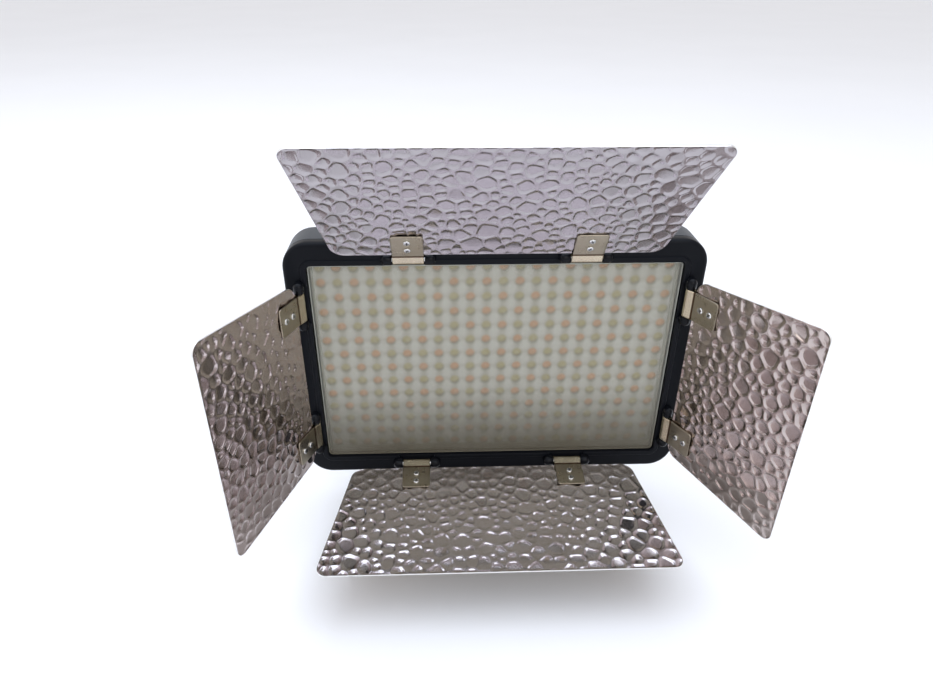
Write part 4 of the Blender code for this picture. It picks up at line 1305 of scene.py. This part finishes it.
print("bezel and knuckles")
makeBezel()
makeKnuckles()
print("doors, clips and screws")
screwMesh = makeScrewMesh(clipScrew, steel)
screwTurns = np.random.default_rng(7)
for seed, side in enumerate(sides, start=11):
    makeDoor(side, seed)
    makeScrews(side, screwMesh, screwTurns)
    for number in (1, 2):
        makeClip(side, number)
print("diffuser and diodes")
makeDiffuser()
makeDiodes()

# The CAD's own pieces: their own shapes, with soft shading and a finish each

nodeLooks = {
    "rear_housing": housingBlack,
    "led_board": boardWhite,
    "control_board": boardWhite,
    "screen_module": blockGrey,
    "screen_window": glass,
    "dc_jack": fittingBlack,
    "battery_plate": fittingBlack,
    "battery_latch": latchOrange,
    "battery_contacts": blockGrey,
    "thread_bush": brass,
    "button_mode": softBlack,
    "button_light": softBlack,
    "switch_rocker": knuckleBlack,
    "stand_base": alloy,
    "tilt_arm": alloy,
    "lock_wheel": alloy,
    "tilt_bolt": steel,
    "tilt_knob": softBlack,
}


bladeSize = {"blockHeight": 6.6 * mm}


def softShading(angle):  # joins the loaded faces' shared points and smooths the blunt edges
    group = bpy.data.node_groups.new("softShading", "GeometryNodeTree")
    for way in ("INPUT", "OUTPUT"):
        group.interface.new_socket("Geometry", in_out=way, socket_type="NodeSocketGeometry")
    treeNodes = group.nodes
    link = group.links.new
    start = treeNodes.new("NodeGroupInput")
    plain = treeNodes.new("GeometryNodeRemoveAttribute")
    plain.inputs["Name"].default_value = "custom_normal"
    merge = treeNodes.new("GeometryNodeMergeByDistance")
    merge.inputs["Distance"].default_value = 0.002 * mm
    faces = treeNodes.new("GeometryNodeSetShadeSmooth")
    edges = treeNodes.new("GeometryNodeSetShadeSmooth")
    edges.domain = "EDGE"
    edgeAngle = treeNodes.new("GeometryNodeInputMeshEdgeAngle")
    blunt = treeNodes.new("FunctionNodeCompare")
    blunt.operation = "LESS_THAN"
    blunt.inputs[1].default_value = math.radians(angle)
    finish = treeNodes.new("NodeGroupOutput")
    chain = (start, plain, merge, faces, edges, finish)
    for source, target in zip(chain, chain[1:]):
        link(source.outputs[0], target.inputs[0])
    link(edgeAngle.outputs[0], blunt.inputs[0])
    link(blunt.outputs[0], edges.inputs["Shade Smooth"])
    return group


def dressNodes():
    smoothing = softShading(38)
    for name, node in nodes.items():
        if node.hide_render:
            continue
        look = steel if name.startswith("hinge_pin") else nodeLooks[name]
        node.data.materials.clear()
        node.data.materials.append(look)
        if name == "battery_contacts":
            node.data.materials.append(brass)
            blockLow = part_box(name)[1].z - bladeSize["blockHeight"]
            for face in node.data.polygons:
                face.material_index = int(face.center.z < blockLow)
        soft = node.modifiers.new("softShading", "NODES")
        soft.node_group = smoothing


print("controls on the back")
for name in ("brightness", "colour"):
    makeKnob(name)
makeDisplay()
makeSwitchMarks()
makeHousingScrews(screwTurns)
print("finishes of the other pieces")
dressNodes()


# Camera, light and floor

studio = {
    "aim": (0, -0.02, 0.12),
    "lamps": {  # place, size, watts and colour
        "overhead": ((-0.1, -0.25, 1.5), (3.0, 2.0), 28, (0.74, 0.84, 1.0)),
        "frontFill": ((0.5, -1.9, 1.3), (1.4, 1.0), 9, (1.0, 0.95, 0.92)),
        "leftFill": ((-1.9, -0.3, 0.9), (1.0, 1.0), 5, (1.0, 0.96, 0.94)),
    },
    "skySoftness": 75,
    "skyPower": 1.35,
    "skyColour": (0.80, 0.88, 1.0),
    "skyLean": -14,
    "wallLow": (0.92, 0.90, 0.895),
    "wallHigh": (0.46, 0.425, 0.415),
    "wallRise": (0.15, 0.65),
    "floor": 24,
    "floorLevel": -0.2 * mm,
}


def areaLight(name, place, size, power, colour):
    data = bpy.data.lights.new(name, "AREA")
    data.shape = "RECTANGLE"
    data.size, data.size_y = size
    data.energy = power
    data.color = colour
    lamp = inScene(name, data)
    lamp.location = place
    toAim = Vector(studio["aim"]) - Vector(place)
    lamp.rotation_euler = toAim.to_track_quat("-Z", "Y").to_euler()


def makeStudio():
    bpy.ops.mesh.primitive_plane_add(size=studio["floor"], location=(0, 0, studio["floorLevel"]))
    floor = bpy.context.object
    floor.name = "floor"
    paint = mottled((3, 4, 0.5), (0.84, 0.84, 0.84), (0.88, 0.88, 0.88), (500, 3, 0.5),
                    None, (0.6, 0.2), 0.04 * mm, byGrain=True)
    floor.data.materials.append(material("floorPaint", paint))
    for name, settings in studio["lamps"].items():
        areaLight(name, *settings)
    sky = bpy.data.lights.new("sky", "SUN")
    sky.angle = math.radians(studio["skySoftness"])
    sky.energy = studio["skyPower"]
    sky.color = studio["skyColour"]
    inScene("sky", sky).rotation_euler = (math.radians(studio["skyLean"]), 0, 0)
    world = bpy.data.worlds.new("studio")
    scene.world = world
    world.use_nodes = True
    w = Wire(world.node_tree)
    rising = between(w, axisOf(w, w.add("TexCoord"), 2), *studio["wallRise"])
    colour = tint(w, rising, studio["wallLow"], studio["wallHigh"])
    background = world.node_tree.nodes["Background"]
    world.node_tree.links.new(colour.socket, background.inputs["Color"])


cameraSettings = {
    "sensor": 36,
    "lens": 26.75,
    "nearest": 0.01,
    "place": (-0.0297, -0.3675, 0.3377),
    "turn": (59.39, -0.21, -2.02),
}


def makeCamera():
    data = bpy.data.cameras.new("camera")
    data.sensor_width = cameraSettings["sensor"]
    data.lens = cameraSettings["lens"]
    data.clip_start = cameraSettings["nearest"]
    camera = inScene("camera", data)
    camera.location = cameraSettings["place"]
    camera.rotation_euler = [math.radians(angle) for angle in cameraSettings["turn"]]
    scene.camera = camera


makeStudio()
makeCamera()
scene.view_settings.view_transform = "Standard"
